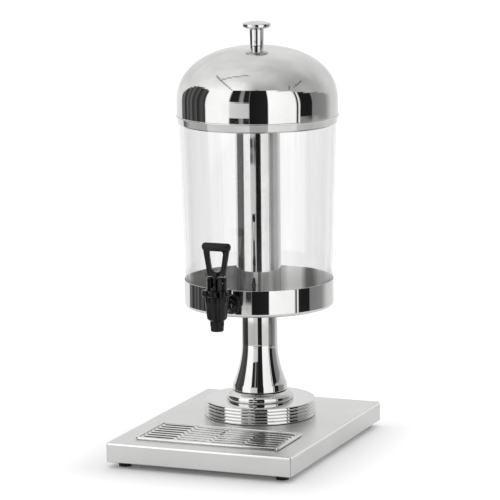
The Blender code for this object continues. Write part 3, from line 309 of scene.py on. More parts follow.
def faces_in_painted_shade(middle, normal):
    """Faces that get the painted shade: those that lie behind the sheet's outer skin and above the
    flange's underside, and the cut ends at the seams, which face along the plate's edge."""
    skin = plate_sheet - 0.1
    inset = np.min([plate_width, plate_depth] - 2 * np.abs(middle[:, :2]), axis=-1) / 2
    above, below = middle[:, 2] - plate_low, plate_top - middle[:, 2]
    behind_skin = (inset > skin) & (above > skin) & (below > skin)
    turned = normal[:, :2] * np.sign(middle[:, :2])
    return behind_skin | (np.abs(turned[:, 0] - turned[:, 1]) > 1.3)


for edge_name, length, across, quarters in (("back", plate_width, plate_depth, 0),
                                            ("front", plate_width, plate_depth, 2),
                                            ("left", plate_depth, plate_width, 1),
                                            ("right", plate_depth, plate_width, -1)):
    folded_side("base_side_" + edge_name, length / 2, across / 2, quarters * math.pi / 2)

outer_loop = round_rectangle(plate_width - 2 * plate_bend, plate_depth - 2 * plate_bend, 0.6)
hole_loop = round_rectangle(tray_width - 6.2, tray_depth - 6.2, tray_corner - 3.1, tray_y)
plate_under = plate_top - plate_sheet
top_sheet = [at_height(outer_loop, plate_under), at_height(outer_loop, plate_top),
             at_height(hole_loop, plate_top), at_height(hole_loop, plate_under)]
mesh_piece("base_top_sheet", top_sheet, True, True, sheet_steel, "stand",
           nodes=("base_plate",), sharp=30)


# Rubber feet
# Moulded black rubber buffers, slightly tapered, each sunk round the head of a pan-head screw
# that holds it to the plate's flange with a nut.

def turned_piece(name, outline, centre, material, body, nodes=(), steps=128, axis="Z",
                 closed=True, sharp=40, swell=None):
    """Turn an outline of (radius, height) about an axis through centre.

    At angle t a point lies at radius times (sin t, -cos t), so t = 0 faces the user. swell
    changes the radius, from the radius, the height and the angle. axis Y lays the turned shape
    down along +Y.
    """
    outline = held(outline, closed)
    angle = np.linspace(0, 2 * math.pi, steps, endpoint=False)[None]
    radius = outline[:, :1] * np.ones_like(angle)
    if swell is not None:
        radius = swell(radius, outline[:, 1:], angle)
    height = np.broadcast_to(outline[:, 1:], radius.shape)
    if axis == "Z":
        points = np.stack([radius * np.sin(angle), -radius * np.cos(angle), height], axis=-1)
    else:
        points = np.stack([radius * np.sin(angle), height, radius * np.cos(angle)], axis=-1)
    return mesh_piece(name, points + np.asarray(centre), True, closed, material, body, nodes,
                      sharp=sharp)


rubber = matt_black("moulded_rubber")
foot_outline = filleted([(4.1, 0, 0), (8.2, 0, 0.6), (9.0, 7.2, 0.3), (2.3, 7.2, 0), (2.3, 3.8, 0),
                         (4.1, 3.8, 0)])
foot_x, foot_y = 111.0, 156.0
for corner, side_x, side_y in (("front_left", -1, -1), ("front_right", 1, -1),
                               ("back_left", -1, 1), ("back_right", 1, 1)):
    turned_piece("rubber_foot_" + corner, foot_outline, (side_x * foot_x, side_y * foot_y, 0),
                 rubber, "stand", nodes=("foot_" + corner,), steps=64)


# Screws, nuts, washers and the tie rod
# Bright zinc-plated or plain stainless hardware, turned and pressed, hidden inside the stand,
# the lid and the tap.

def plain_hardware(name):
    """Turned stainless hardware: dull bright metal with faint turning lines round it."""
    made, tree, shader = new_material(name)
    lines = stretched_noise(tree, (8, 8, 0.4), detail=2)
    turned = spread(tree, lines, 0, 1)
    fill(shader, {"Base Color": blend_colours(tree, turned, "#a9a9a8", "#c6c6c4"),
                  "Roughness": spread(tree, lines, 0.28, 0.42), "Metallic": 1.0})
    return made


def refinish(name_starts, material):
    """Give a material to each CAD node whose name starts with one of the given words."""
    for node_name, node_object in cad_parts.items():
        if node_name.startswith(name_starts):
            node_object.data.materials.clear()
            node_object.data.materials.append(material)


refinish(("foot_screw_", "foot_nut_", "tie_rod", "tank_nut", "lid_seat_ring", "knob_washer",
          "knob_screw", "tap_pivot_pin"), plain_hardware("turned_stainless_hardware"))


# Drip tray
# A polished stainless pan, pressed with a rolled rim that lies on the plate, and a slotted
# grate that drops in on its ledge. The slots are punched, with their edges drawn down.

def polished_steel(name, buff_mm, wave_strength=0.06, gloss=(0.035, 0.085)):
    """Mirror-buffed stainless: it shows the studio clearly, a little wavy from pressing, with
    buffing lines and hazy patches that only soften it."""
    made, tree, shader = new_material(name)
    lines = stretched_noise(tree, buff_mm, detail=2)
    haze = stretched_noise(tree, (35, 35, 35), place=(5, 2, 7))
    waves = stretched_noise(tree, (26, 26, 34), detail=1, place=(1, 8, 3))
    wavy = add(tree, "Bump", {"Height": waves, "Strength": wave_strength, "Distance": 0.0004})
    fill(shader, {"Base Color": blend_colours(tree, spread(tree, haze, 0, 1), "#d8d8d7", "#e2e2e1"),
                  "Roughness": spread(tree, product(tree, lines, haze), *gloss, 0.12, 0.42),
                  "Metallic": 1.0,
                  "Normal": add(tree, "Bump", {"Height": lines, "Strength": 0.03,
                                               "Distance": 0.00002, "Normal": wavy})})
    return made


pressed_steel = polished_steel("pressed_polished_steel", (40, 0.5, 40))
pan_section = held(filleted([(2.6, 34.3, 0), (2.6, 35.0, 0.2), (0, 35.0, 0.3), (0.9, 37.5, 0.9),
                             (4.0, 37.5, 0.8), (4.0, 30.0, 1.0), (6.5, 30.0, 0.8), (6.5, 21.0, 1.5),
                             (9.5, 21.0, 0), (9.5, 20.2, 0), (5.7, 20.2, 1.5), (5.7, 29.2, 0.5),
                             (3.2, 29.2, 0.5), (3.2, 34.3, 0)]))
pan_rows = frame_sweep(pan_section, tray_width, tray_depth, tray_corner, tray_y)
last_floor = int(np.argmax((pan_section[:, 0] == 9.5) & (pan_section[:, 1] == 21.0)))
mesh_piece("drip_tray", np.roll(pan_rows, -last_floor - 1, axis=0), True, False, pressed_steel,
           "drip_pan", nodes=("drip_tray_pan",), caps=(0, -1), sharp=35)

grate_inset, grate_top, grate_low, grate_sheet, grate_bend = 4.3, 36.4, 30.3, 0.8, 1.2
slot_length, slot_width = 42.0, 4.6
column_pitch, row_pitch, slot_columns, slot_rows = 47.6, 11.8, 4, 7


def grate_cells(count=48):
    """Slotted field of the grate as one grid of cells.

    Each cell blends from its rectangle to the round-ended slot, then follows a quarter circle
    down the drawn edge, comes up under the sheet and returns to the rectangle below.
    """
    turn = np.linspace(0, 2 * math.pi, count, endpoint=False)
    cos, sin = np.cos(turn), np.sin(turn)
    reach = 1 / np.maximum(np.abs(cos) / (column_pitch / 2), np.abs(sin) / (row_pitch / 2))
    rectangle = np.stack([reach * cos, reach * sin], axis=-1)
    half = slot_width / 2
    run = slot_length / 2 - half
    slide = np.clip(rectangle[:, 0], -run, run)
    spine = np.stack([slide, np.zeros_like(slide)], axis=-1)
    away = rectangle - spine
    away = away / np.linalg.norm(away, axis=-1, keepdims=True)
    rows = [(rectangle, 0)]
    for angle in np.radians([90, 67, 45, 22, 0]):
        off_spine = half + grate_sheet * (1 - math.cos(angle))
        rows.append((spine + away * off_spine, 1 - math.sin(angle)))
    rows += [(spine + away * half, 2), (spine + away * (half + grate_sheet), 2), (rectangle, 1)]
    cell = np.array([at_height(loop, grate_top - grate_sheet * sheets) for loop, sheets in rows])
    x = (np.arange(slot_columns) - (slot_columns - 1) / 2) * column_pitch
    y = (np.arange(slot_rows) - (slot_rows - 1) / 2) * row_pitch + tray_y
    shift = np.stack(np.meshgrid(x, y, [0.0], indexing="ij"), axis=-1).reshape(-1, 1, 1, 3)
    return cell[None] + shift


def punched_edge(name):
    """Punched and drawn edge of stainless sheet: pale, matt metal in the middle of the grate,
    and brown-black painted shade in the slots at both ends."""
    made, tree, shader = new_material(name)
    across = object_place(tree, "X")
    ends = add(tree, "Math", {0: spread(tree, across, 1, 0, -52 * MM, -40 * MM),
                              1: spread(tree, across, 0, 1, 18 * MM, 52 * MM)}, operation="MAXIMUM")
    # Painted shade in the slots at both ends of the grate, mottled a little by noise.
    painted_slot_shade = product(tree, ends, spread(tree, stretched_noise(tree, (14, 14, 14)), 0.75, 1.0))
    fill(shader, {"Base Color": blend_colours(tree, painted_slot_shade, "#f0f0ef", "#161514"),
                  "Roughness": spread(tree, painted_slot_shade, 0.6, 0.5, 0, 1),
                  "Metallic": spread(tree, painted_slot_shade, 1.0, 0.2, 0, 1)})
    return made


cells = grate_cells()
cell_count, rows, columns = cells.shape[:3]
first_points = np.arange(cell_count)[:, None, None] * rows * columns
cell_faces = (grid_faces(rows, columns, True, False) + first_points).reshape(-1, 4).tolist()
slots = riding_piece("grate_slots", cells, cell_faces, pressed_steel, "drip_grate")
second_material(slots, punched_edge("punched_slot_edge"),
                lambda middle, normal: (middle[:, 2] < grate_top - 0.02) & (normal[:, 2] > -0.9))
field_x = column_pitch * slot_columns
field_y = row_pitch * slot_rows
grate_x = tray_width - 2 * grate_inset
grate_y = tray_depth - 2 * grate_inset
field = round_rectangle(field_x, field_y, 0.01, tray_y)
edge = filleted([(grate_bend * 2, grate_top, 0), (0, grate_top, grate_bend), (0, grate_low, 0),
                 (grate_sheet, grate_low, 0), (grate_sheet, grate_top - grate_sheet, 0.5),
                 (grate_bend * 2, grate_top - grate_sheet, 0)])
edge = edge[edge[:, 0] < min(grate_x - field_x, grate_y - field_y) / 2]
border = [at_height(field, grate_top), *frame_sweep(edge, grate_x, grate_y, 3.0, tray_y),
          at_height(field, grate_top - grate_sheet)]
mesh_piece("grate_border", border, True, False, pressed_steel, "drip_grate",
           nodes=("drip_grate",), sharp=35)


# Plinth
# A spun stainless drum with five rolled ribs one above the other, polished, open below and
# clamped to the plate by the tie rod.

spun_steel = polished_steel("spun_polished_steel", (60, 60, 0.5), wave_strength=0.10,
                            gloss=(0.012, 0.035))
axis_y = 50.0
rib_pitch, rib_count, plinth_radius, rib_depth, plinth_low = 4.5, 5, 75.5, 1.6, 34.3
crown = np.linspace(0, 1, 12)
one_rib = np.vstack([[[rib_depth, 0.0], [0.7, 0.25], [0.15, 0.6]],
                     np.column_stack([0.62 * crown ** 2, 0.9 + 3.0 * crown]), [[1.1, 4.2]]])
rib_low = plinth_low + rib_pitch * np.arange(rib_count)
rib_radius = np.tile(plinth_radius - one_rib[:, 0], rib_count)
rib_height = (rib_low[:, None] + one_rib[:, 1]).ravel()
plinth_top = plinth_low + rib_pitch * rib_count
plinth_outline = np.vstack([np.column_stack([rib_radius, rib_height]),
                            [[plinth_radius - rib_depth, plinth_top], [5.0, plinth_top],
                             [5.0, plinth_top - 1.5], [70.5, plinth_top - 1.5],
                             [70.5, plinth_low]]])
turned_piece("ribbed_plinth", plinth_outline, (0, axis_y, 0), spun_steel, "stand",
             nodes=("pedestal_plinth",), steps=192, sharp=50)


# Pedestal foot and column
# Two spun and polished stainless shells: a swelling foot with a collar, and a trumpet column
# with an upright lip that stands on that collar.

foot_low, collar_radius, foot_radius = 57.1, 33.0, 45.7
swell = np.radians(np.linspace(0, 90, 20))
swell_radius = collar_radius + (foot_radius - collar_radius) * np.cos(swell)
swell_height = foot_low + 3.0 + 9.2 * np.sin(swell)
under = np.radians(np.linspace(-60, -5, 8))
under_radius = foot_radius - 1.5 + 1.5 * np.cos(under)
under_height = foot_low + 3.0 + 3.0 * np.sin(under) / math.sin(math.radians(60))
foot_outer = np.column_stack([np.r_[under_radius, swell_radius], np.r_[under_height, swell_height]])
foot_inner = np.array([[collar_radius - 1.2, swell_height[-1]],
                       [collar_radius - 1.2, foot_low + 10], [foot_radius - 3.5, foot_low + 3],
                       [foot_radius - 3.5, foot_low]])
turned_piece("pedestal_foot", np.vstack([foot_outer, foot_inner]), (0, axis_y, 0), spun_steel,
             "stand", nodes=("pedestal_base",), steps=160, sharp=50)

column_low, column_top, lip_radius, neck_radius = 69.8, 186.1, 37.5, 24.4
lip_height, lip_lean, flare_height = 8.0, 0.9, 54.8
climb = np.linspace(0, 1, 44)[1:]
flare = np.column_stack([neck_radius + (lip_radius - lip_lean - neck_radius) * (1 - climb) ** 1.85,
                         column_low + lip_height + flare_height * climb])
lip = filleted([(31.5, column_low, 0), (lip_radius, column_low, 0.8),
                (lip_radius - lip_lean, column_low + lip_height, 0)], 8)
column_outer = np.vstack([lip, flare, [[neck_radius, column_top - 0.5],
                                       [neck_radius - 0.4, column_top]]])
column_inner = np.array([[neck_radius - 1.2, column_top], [neck_radius - 1.2, column_low + 60],
                         [lip_radius - 8.0, column_low + 22], [lip_radius - 1.4, column_low + 6],
                         [lip_radius - 1.4, column_low + 1.2], [31.5, column_low + 1.2]])
turned_piece("pedestal_trumpet", np.vstack([column_outer, column_inner]), (0, axis_y, 0),
             spun_steel, "stand", nodes=("pedestal_column",), steps=160, sharp=50)


# Support ring
# A shallow polished cup, pressed from stainless sheet with a rounded bottom edge and a rolled
# top edge. The tank stands in it.

ring_radius, ring_low, ring_top = 101.2, 186.4, 222.7
ring_outline = filleted([(4.3, ring_low, 0), (ring_radius - 0.9, ring_low, 3.0),
                         (ring_radius - 0.2, ring_low + 3.4, 0.6), (ring_radius, ring_low + 4.2, 0),
                         (ring_radius, ring_top, 0.5), (ring_radius - 1.0, ring_top, 0.4),
                         (ring_radius - 1.0, ring_low + 1.0, 2.0), (4.3, ring_low + 1.0, 0)], 8)
ring = turned_piece("tank_ring", ring_outline, (0, axis_y, 0), spun_steel, "stand",
                    nodes=("support_ring",), steps=256, sharp=50)


def cup_inside(middle, normal):
    """Faces of the ring that look towards its axis or up from its floor."""
    outward = middle - [0, axis_y, 0]
    reach = np.linalg.norm(outward[:, :2], axis=-1)
    facing = (normal * outward)[:, :2].sum(axis=-1) / reach
    return (facing < -0.2) | ((normal[:, 2] > 0.5) & (reach < ring_radius - 2))


def blasted_steel(name):
    """Bead-blasted inside of the pressed cup: grey and matt, in broad upright streaks, with a
    pale patch painted as light falling across the middle and, fainter, towards the right."""
    made, tree, shader = new_material(name)
    bands = stretched_noise(tree, (42, 42, 600), detail=3, place=(2, 5, 0))
    across = object_place(tree, "X")
    # The pale patch across X is painted light, where the inside of the cup looks lit.
    pale = add(tree, "Math", {0: window(tree, across, -16 * MM, 4 * MM, 24 * MM, 33 * MM),
                              1: spread(tree, across, 0, 0.4, 44 * MM, 54 * MM)},
               operation="MAXIMUM")
    painted_light_and_streaks = add(tree, "Math", {0: pale, 1: spread(tree, bands, 0.75, 1.0, 0.38, 0.62),
                                2: spread(tree, bands, 0, 0.15, 0.38, 0.62)},
                 operation="MULTIPLY_ADD")
    fill(shader, {"Base Color": blend_colours(tree, painted_light_and_streaks, "#686867", "#fafaf9"),
                  "Roughness": spread(tree, bands, 0.5, 0.3)})
    return made


second_material(ring, blasted_steel("bead_blasted_steel"), cup_inside)


# Tank
# Clear polycarbonate, injection moulded with a little draft, so it is wider at the top. Thick
# enough to show a grey line at its edges, with faint flow marks in the wall.

def clear_polycarbonate(name):
    """Polycarbonate: a clear glossy face on a wall so thin that it hardly bends what lies behind,
    with a breath of grey and soft upright flow lines from the mould."""
    made, tree, shader = new_material(name)
    flow = stretched_noise(tree, (9, 9, 160), detail=2)
    fill(shader, {"Base Color": blend_colours(tree, spread(tree, flow, 0, 1), "#fbfbfb", "#ffffff"),
                  "IOR": 1.001, "Transmission Weight": 1.0, "Roughness": 0.0, "Coat Weight": 1.0,
                  "Coat IOR": 1.5, "Coat Roughness": spread(tree, flow, 0.01, 0.05),
                  "Coat Normal": add(tree, "Bump", {"Height": flow, "Strength": 0.02,
                                                    "Distance": 0.0003})})
    path = add(tree, "LightPath")
    through = add(tree, "BsdfTransparent", {"Color": (0.96, 0.96, 0.96, 1)})
    choice = add(tree, "MixShader", {0: path.outputs["Is Shadow Ray"], 1: shader, 2: through})
    fill(tree.nodes["Material Output"], {"Surface": choice})
    return made


tank_plastic = clear_polycarbonate("clear_polycarbonate")
through_tank = 3.5  # transmission depth of what is seen through more than three of its faces
tank_low, tank_top, tank_wall, tank_floor = 187.7, 439.0, 3.0, 4.0
tank_low_radius, tank_top_radius = 98.5, 106.3
tank_outline = filleted([(4.3, tank_low, 0), (tank_low_radius, tank_low, 2.0),
                         (tank_top_radius, tank_top, 0.8),
                         (tank_top_radius - tank_wall, tank_top, 0.8),
                         (tank_low_radius - tank_wall + 0.1, tank_low + tank_floor, 1.5),
                         (4.3, tank_low + tank_floor, 0)], 8)
turned_piece("clear_tank", tank_outline, (0, axis_y, 0), tank_plastic, "stand",
             nodes=("tank",), steps=256, sharp=50)


# Silicone seals
# Milky moulded silicone: the gasket under the tank's nut and the soft cup on the tap's stem. The
# gasket inside the ring is rubber, as its mate outside is.

def milky_silicone(name):
    """Moulded silicone: milky, waxy and slightly see-through, with dust on it."""
    made, tree, shader = new_material(name)
    dust = stretched_noise(tree, (3, 3, 3), detail=3)
    fill(shader, {"Base Color": blend_colours(tree, spread(tree, dust, 0, 1), "#dcdad2", "#ebe9e2"),
                  "Roughness": spread(tree, dust, 0.42, 0.58), "Subsurface Weight": 0.2,
                  "Subsurface Scale": 0.002})
    return made


refinish(("tank_gasket", "tap_seat_cup"), milky_silicone("milky_silicone"))
refinish("tap_inner_gasket", rubber)


# Ice tube
# Polished stainless tube, open at the top with a rolled bead, its floor raised over the nut on
# the tank's floor.

ice_radius, ice_low, ice_top, ice_floor = 30.2, 192.0, 443.0, 208.3
ice_outline = filleted([(0, ice_floor, 0), (ice_radius - 1.0, ice_floor, 1.5),
                        (ice_radius - 1.0, ice_low, 0), (ice_radius, ice_low, 0.4),
                        (ice_radius, ice_top - 3.0, 0),
                        (ice_radius + 0.8, ice_top - 2.2, 0.6),
                        (ice_radius + 0.8, ice_top - 0.4, 0.6), (ice_radius - 1.0, ice_top, 0.5),
                        (ice_radius - 1.0, ice_floor + 1.0, 2.0), (0, ice_floor + 1.0, 0)], 6)
turned_piece("steel_ice_tube", ice_outline, (0, axis_y, 0), spun_steel, "ice_tube",
             nodes=("ice_tube",), steps=128, closed=False, sharp=50)


# Lid
# A dome spun from stainless sheet and buffed bright, with a bead rolled over its skirt. The
# skirt slips over the tank's rim.

dome_steel = polished_steel("spun_bright_dome", (80, 80, 0.6), wave_strength=0.12,
                            gloss=(0.012, 0.03))
skirt_radius, skirt_low, skirt_top, bead_top, bead_radius = 107.6, 435.5, 444.0, 446.2, 109.8
dome_radius, equator, dome_rise = 108.8, 463.2, 75.6


def dome_arc(radius, rise, steps):
    """Quarter of a superellipse from the equator to the pole: radius times cos to the power
    2 / 2.18, and the equator plus rise times sin to the power 2 / 2.24."""
    turn = np.radians(np.linspace(0, 90, steps))
    arc = np.column_stack([radius * np.cos(turn) ** (2 / 2.18),
                           equator + rise * np.sin(turn) ** (2 / 2.24)])
    arc[-1, 0] = 0.0
    return arc


dome_outer = dome_arc(dome_radius, dome_rise, 60)
dome_inner = dome_arc(dome_radius - 1.0, dome_rise - 1.0, 40)[::-1]
bead = filleted([(skirt_radius - 1.0, skirt_low, 0), (skirt_radius - 0.5, skirt_low, 0.2),
                 (skirt_radius + 0.5, skirt_top, 0.3), (bead_radius, skirt_top - 0.1, 1.0),
                 (bead_radius, bead_top + 0.1, 1.0), (dome_radius - 0.034, bead_top, 0.3),
                 (dome_radius, bead_top + 8.0, 0), (dome_radius, equator, 0)], 6)[1:-1]
skirt_inner = np.array([[dome_radius - 1.0, bead_top], [skirt_radius - 1.0, skirt_top],
                        [skirt_radius - 1.0, skirt_low]])
turned_piece("domed_lid", np.vstack([bead, dome_outer, dome_inner, skirt_inner]), (0, axis_y, 0),
             dome_steel, "lid", nodes=("lid_dome",), steps=256, sharp=50)


# Knob
# Turned and polished stainless: a mushroom knob with a thick round-edged cap. It stands straight
# on the dome, which mirrors it, and is held by a screw from inside the lid.

knob_steel = polished_steel("turned_polished_steel", (20, 20, 0.3), wave_strength=0.02,
                            gloss=(0.03, 0.06))
knob_low, knob_stem_height, knob_cap_radius = 539.1, 21.0, 19.2
cap_side_top, crown_rise, screw_hole_radius, screw_hole_depth = 29.2, 3.2, 2.8, 12.3
stem = np.linspace(0, 1, 24)
stem_outer = np.column_stack([9.4 + 0.5 * stem ** 1.5, knob_stem_height * stem])
rim = filleted([(9.9, knob_stem_height, 0), (11.4, 21.4, 1.2), (knob_cap_radius, 24.2, 2.2),
                (knob_cap_radius, cap_side_top, 1.6), (16.3, 30.1, 0),
                (0, cap_side_top + crown_rise, 0)], 10)[1:-2]
crown = np.linspace(0.84, 0, 20)
crown_outer = np.column_stack([knob_cap_radius * crown,
                               cap_side_top + crown_rise * (1 - crown ** 2)])
screw_hole = [[0, screw_hole_depth], [screw_hole_radius, screw_hole_depth], [screw_hole_radius, 0]]
knob_outline = np.vstack([screw_hole, stem_outer, rim, crown_outer]) + [0, knob_low]
turned_piece("mushroom_knob", knob_outline, (0, axis_y, 0), knob_steel, "lid",
             nodes=("lid_knob",), steps=128, closed=False, sharp=45)


# Tap body
# Injection-moulded black plastic, glossy with a slight orange peel: a fluted barrel over a
# round spout, and a flanged shank through the ring, sealed by a rubber gasket. The stem and
# the nut inside are of the same plastic.

def moulded_black(name):
    """Black ABS from a polished mould: deep black, glossy, faintly uneven so that highlights
    wander a little."""
    made, tree, shader = new_material(name)
    cloud = stretched_noise(tree, (6, 6, 6), detail=3)
    peel = stretched_noise(tree, (1.1, 1.1, 1.1), detail=2)
    clouded = spread(tree, cloud, 0, 1)
    fill(shader, {"Base Color": blend_colours(tree, clouded, "#020203", "#060606"),
                  "Roughness": spread(tree, cloud, 0.12, 0.18), "Specular IOR Level": 0.33,
                  "Normal": add(tree, "Bump", {"Height": peel, "Strength": 0.04,
                                               "Distance": 0.00005})})
    return made


black = moulded_black("moulded_black_abs")
tap_y, tap_z = -101.5, 204.55
flute_low, flute_fade, flute_half, barrel_inside, barrel_top = 193.0, 3.0, 30.0, 12.0, 224.15


def flutes(radius, height, angle):
    """Six soft grooves between the barrel's panels, fading out below the barrel: each is 0.9 mm
    deep and falls off as a bell over 4.5 degrees, on a panel that is hollow by 0.7 mm."""
    from_groove = np.abs((angle / (math.pi / 3)) % 1 - 0.5) * 2 * flute_half
    begun = np.clip((height - flute_low) / flute_fade, 0, 1)
    depth = 0.9 * np.exp(-(from_groove / 4.5) ** 2) + 0.7 * (1 - (from_groove / flute_half) ** 2)
    return radius - depth * begun * (radius > barrel_inside)


body_outline = filleted([(5.0, 177.55, 0), (8.6, 177.55, 1.4), (8.9, 184.5, 0), (9.3, 184.9, 0),
                         (9.5, 191.4, 0.6), (13.3, 194.6, 1.6), (15.8, 217.0, 0),
                         (16.0, barrel_top, 0.5), (barrel_inside, barrel_top, 0),
                         (barrel_inside, 217.05, 0),
                         (9.3, 217.05, 0), (9.3, 199.55, 0), (5.0, 199.55, 0)], 6)
turned_piece("tap_barrel", body_outline, (0, tap_y, 0), black, "stand",
             nodes=("tap_body",), steps=144, sharp=40, swell=flutes)

shank_outline = filleted([(4.5, 12.0, 0), (9.6, 12.0, 0), (8.6, 20.0, 3.0), (7.6, 30.0, 0),
                          (7.6, 40.0, 1.0), (9.0, 42.4, 1.0), (9.0, 44.0, 0.3), (11.0, 44.4, 0.3),
                          (11.0, 45.2, 0.2), (12.7, 45.4, 0.5), (12.7, 47.8, 0.5), (7.6, 47.8, 0),
                          (7.6, 66.9, 0.5), (4.5, 66.9, 0)], 6)
turned_piece("tap_shank", shank_outline, (0, tap_y, tap_z), black, "stand",
             steps=96, axis="Y", sharp=40)

seal_outline = filleted([(7.9, 48.3, 0), (13.4, 48.3, 0.6), (13.4, 50.2, 0.4), (7.9, 50.0, 0)], 6)
turned_piece("tap_seal", seal_outline, (0, tap_y, tap_z), rubber, "stand",
             nodes=("tap_outer_gasket",), steps=96, axis="Y", sharp=40)
refinish(("tap_stem", "tap_nut"), black)


# Tap bonnet
# The screwed cap of the tap, of the same black plastic: a grip collar with six round wings, and
# a slotted tower whose two cheeks carry the handle's pin.

collar_low, collar_top, tower_top, slot_floor = 224.45, 233.05, 250.05, 237.55
wing_reach, wing_radius = 13.0, 6.9
cheek_radius, cheek_flat, cheek_round = 13.25, 3.3, 1.6


def wings(radius, height, angle):
    """Outline of six overlapping discs round the axis, drawn in by the same amount as the
    collar's profile is."""
    off = (angle + math.pi / 6) % (math.pi / 3) - math.pi / 6
    reach = wing_reach * np.cos(off) + np.sqrt(wing_radius ** 2 - (wing_reach * np.sin(off)) ** 2)
    drawn_in = wing_reach + wing_radius - radius
    return np.where(radius > cheek_radius + 0.25, reach - drawn_in, radius)


full = wing_reach + wing_radius
collar_outline = filleted([(2.7, 217.95, 0), (11.7, 217.95, 0), (11.7, collar_low, 0),
                           (full, collar_low, 2.2), (full, collar_top, 2.6),
                           (cheek_radius, collar_top, 0), (cheek_radius, slot_floor, 0),
                           (2.7, slot_floor, 0)], 8)
turned_piece("tap_collar", collar_outline, (0, tap_y, 0), black, "stand",
             nodes=("tap_bonnet",), steps=180, sharp=40, swell=wings)


def drawn_rows(outline, middle, levels, draws):
    """Copies of an outline, one for each level, drawn in towards its middle by as much as draws
    says, as rows of points (a, b, level)."""
    toward = outline - middle
    size = np.linalg.norm(toward, axis=-1, keepdims=True)
    return np.array([at_height(middle + toward * (1 - draw / size), level)
                     for level, draw in zip(levels, draws)])


def cheek(name, side):
    """One cheek of the tower: a segment of a disc, its top edge drawn in by a quarter round."""
    start = math.asin(cheek_flat / cheek_radius)
    turn = np.linspace(start, math.pi - start, 40)
    chord = cheek_radius * math.cos(start) * np.linspace(1, -1, 14)[1:-1]
    shape = np.column_stack([np.r_[cheek_radius * np.sin(turn), np.full(12, cheek_flat)],
                             np.r_[-cheek_radius * np.cos(turn), chord]])
    quarter = np.radians(np.arange(0, 91, 15))
    levels = np.r_[slot_floor - 0.5, tower_top - cheek_round * (1 - np.sin(quarter))]
    draws = np.r_[0, cheek_round * (1 - np.cos(quarter))]
    middle = np.array([(cheek_radius + cheek_flat) / 2, 0.0])
    points = drawn_rows(shape, middle, levels, draws) * [side, 1, 1] + [0, tap_y, 0]
    return mesh_piece(name, points, True, False, black, "stand", caps=(0, -1))


cheek("tap_cheek_right", 1)
cheek("tap_cheek_left", -1)


# Tap handle
# One black moulding: a flat tongue on the pin between the cheeks, a short neck, a tapering
# loop with a finger eye and raised rims, and a round bar across its top.

eye_low, eye_top, loop_top, neck_low = 255.25, 284.45, 289.55, 251.05
bar_z, bar_radius, bar_half = 289.55, 5.6, 19.8


def polar_reach(outline, centre, angle):
    """Distance from a centre to a star-shaped outline at each angle, by interpolation."""
    away = np.asarray(outline) - centre
    found = np.arctan2(away[:, 1], away[:, 0])
    order = np.argsort(found)
    return np.interp(angle, found[order], np.linalg.norm(away, axis=-1)[order], period=2 * math.pi)


def refined(outline, count=400):
    """The same closed outline with many evenly spaced points."""
    closed = np.vstack([outline, outline[:1]])
    length = np.r_[0, np.cumsum(np.linalg.norm(np.diff(closed, axis=0), axis=-1))]
    even = np.linspace(0, length[-1], count, endpoint=False)
    return np.column_stack([np.interp(even, length, closed[:, k]) for k in (0, 1)])


def handle_loop():
    """Loop as a closed tube of rounded-square section, carried between the eye and the outside.

    At each direction from the eye's middle the section spans from the eye to the outer edge,
    and a shallow panel sinks into its front and back between two rims.
    """
    eye = refined(filleted([(6.9, eye_low + 1.6, 6.4), (10.7, eye_top, 3.4), (-10.7, eye_top, 3.4),
                            (-6.9, eye_low + 1.6, 6.4)], 10))
    outside = refined(filleted([(12.0, neck_low, 0.8), (12.4, neck_low + 4.5, 3.0),
                                (18.4, loop_top, 2.0), (-18.4, loop_top, 2.0),
                                (-12.4, neck_low + 4.5, 3.0), (-12.0, neck_low, 0.8)], 8))
    centre = np.array([0.0, 271.0])
    angle = np.linspace(-math.pi, math.pi, 220, endpoint=False)
    near = polar_reach(eye, centre, angle)[None]
    far = polar_reach(outside, centre, angle)[None]
    turn = np.linspace(0, 2 * math.pi, 44, endpoint=False)[:, None]
    across = np.sign(np.cos(turn)) * np.abs(np.cos(turn)) ** 0.4
    thick = np.sign(np.sin(turn)) * np.abs(np.sin(turn)) ** 0.4
    panel = 1 - 0.22 * np.exp(-(across / 0.62) ** 6)
    reach = (near + far) / 2 + across * (far - near) / 2
    x = centre[0] + reach * np.cos(angle)
    z = centre[1] + reach * np.sin(angle)
    y = tap_y + 4.0 * thick * panel + np.zeros_like(x)
    return np.stack([x, y, z], axis=-1)


mesh_piece("handle_loop", handle_loop(), True, True, black, "tap_handle",
           nodes=("tap_handle",), sharp=50)

bar_ends = filleted([(0, -bar_half, 0), (bar_radius, -bar_half, 4.2), (bar_radius, bar_half, 4.2),
                     (0, bar_half, 0)], 10)
angle = np.linspace(0, 2 * math.pi, 64, endpoint=False)[None]
bar_points = np.stack([bar_ends[:, 1:] + 0 * angle, tap_y + bar_ends[:, :1] * np.cos(angle),
                       bar_z + bar_ends[:, :1] * np.sin(angle)], axis=-1)
mesh_piece("handle_bar", bar_points, True, False, black, "tap_handle")


def slab_piece(name, outline, half_width, rounding, centre_x=0.0):
    """A flat outline in Y and Z, thickened along X, its edges drawn in by a quarter round."""
    outline = np.asarray(outline)
    quarter = np.radians([90, 60, 30, 0])
    rise = half_width - rounding * (1 - np.sin(quarter))
    draw = rounding * (1 - np.cos(quarter))
    rows = drawn_rows(outline, outline.mean(axis=0), np.r_[-rise, rise[::-1]] + centre_x,
                      np.r_[draw, draw[::-1]])
    return mesh_piece(name, rows[..., [2, 0, 1]], True, False, black, "tap_handle",
                      caps=(0, -1))


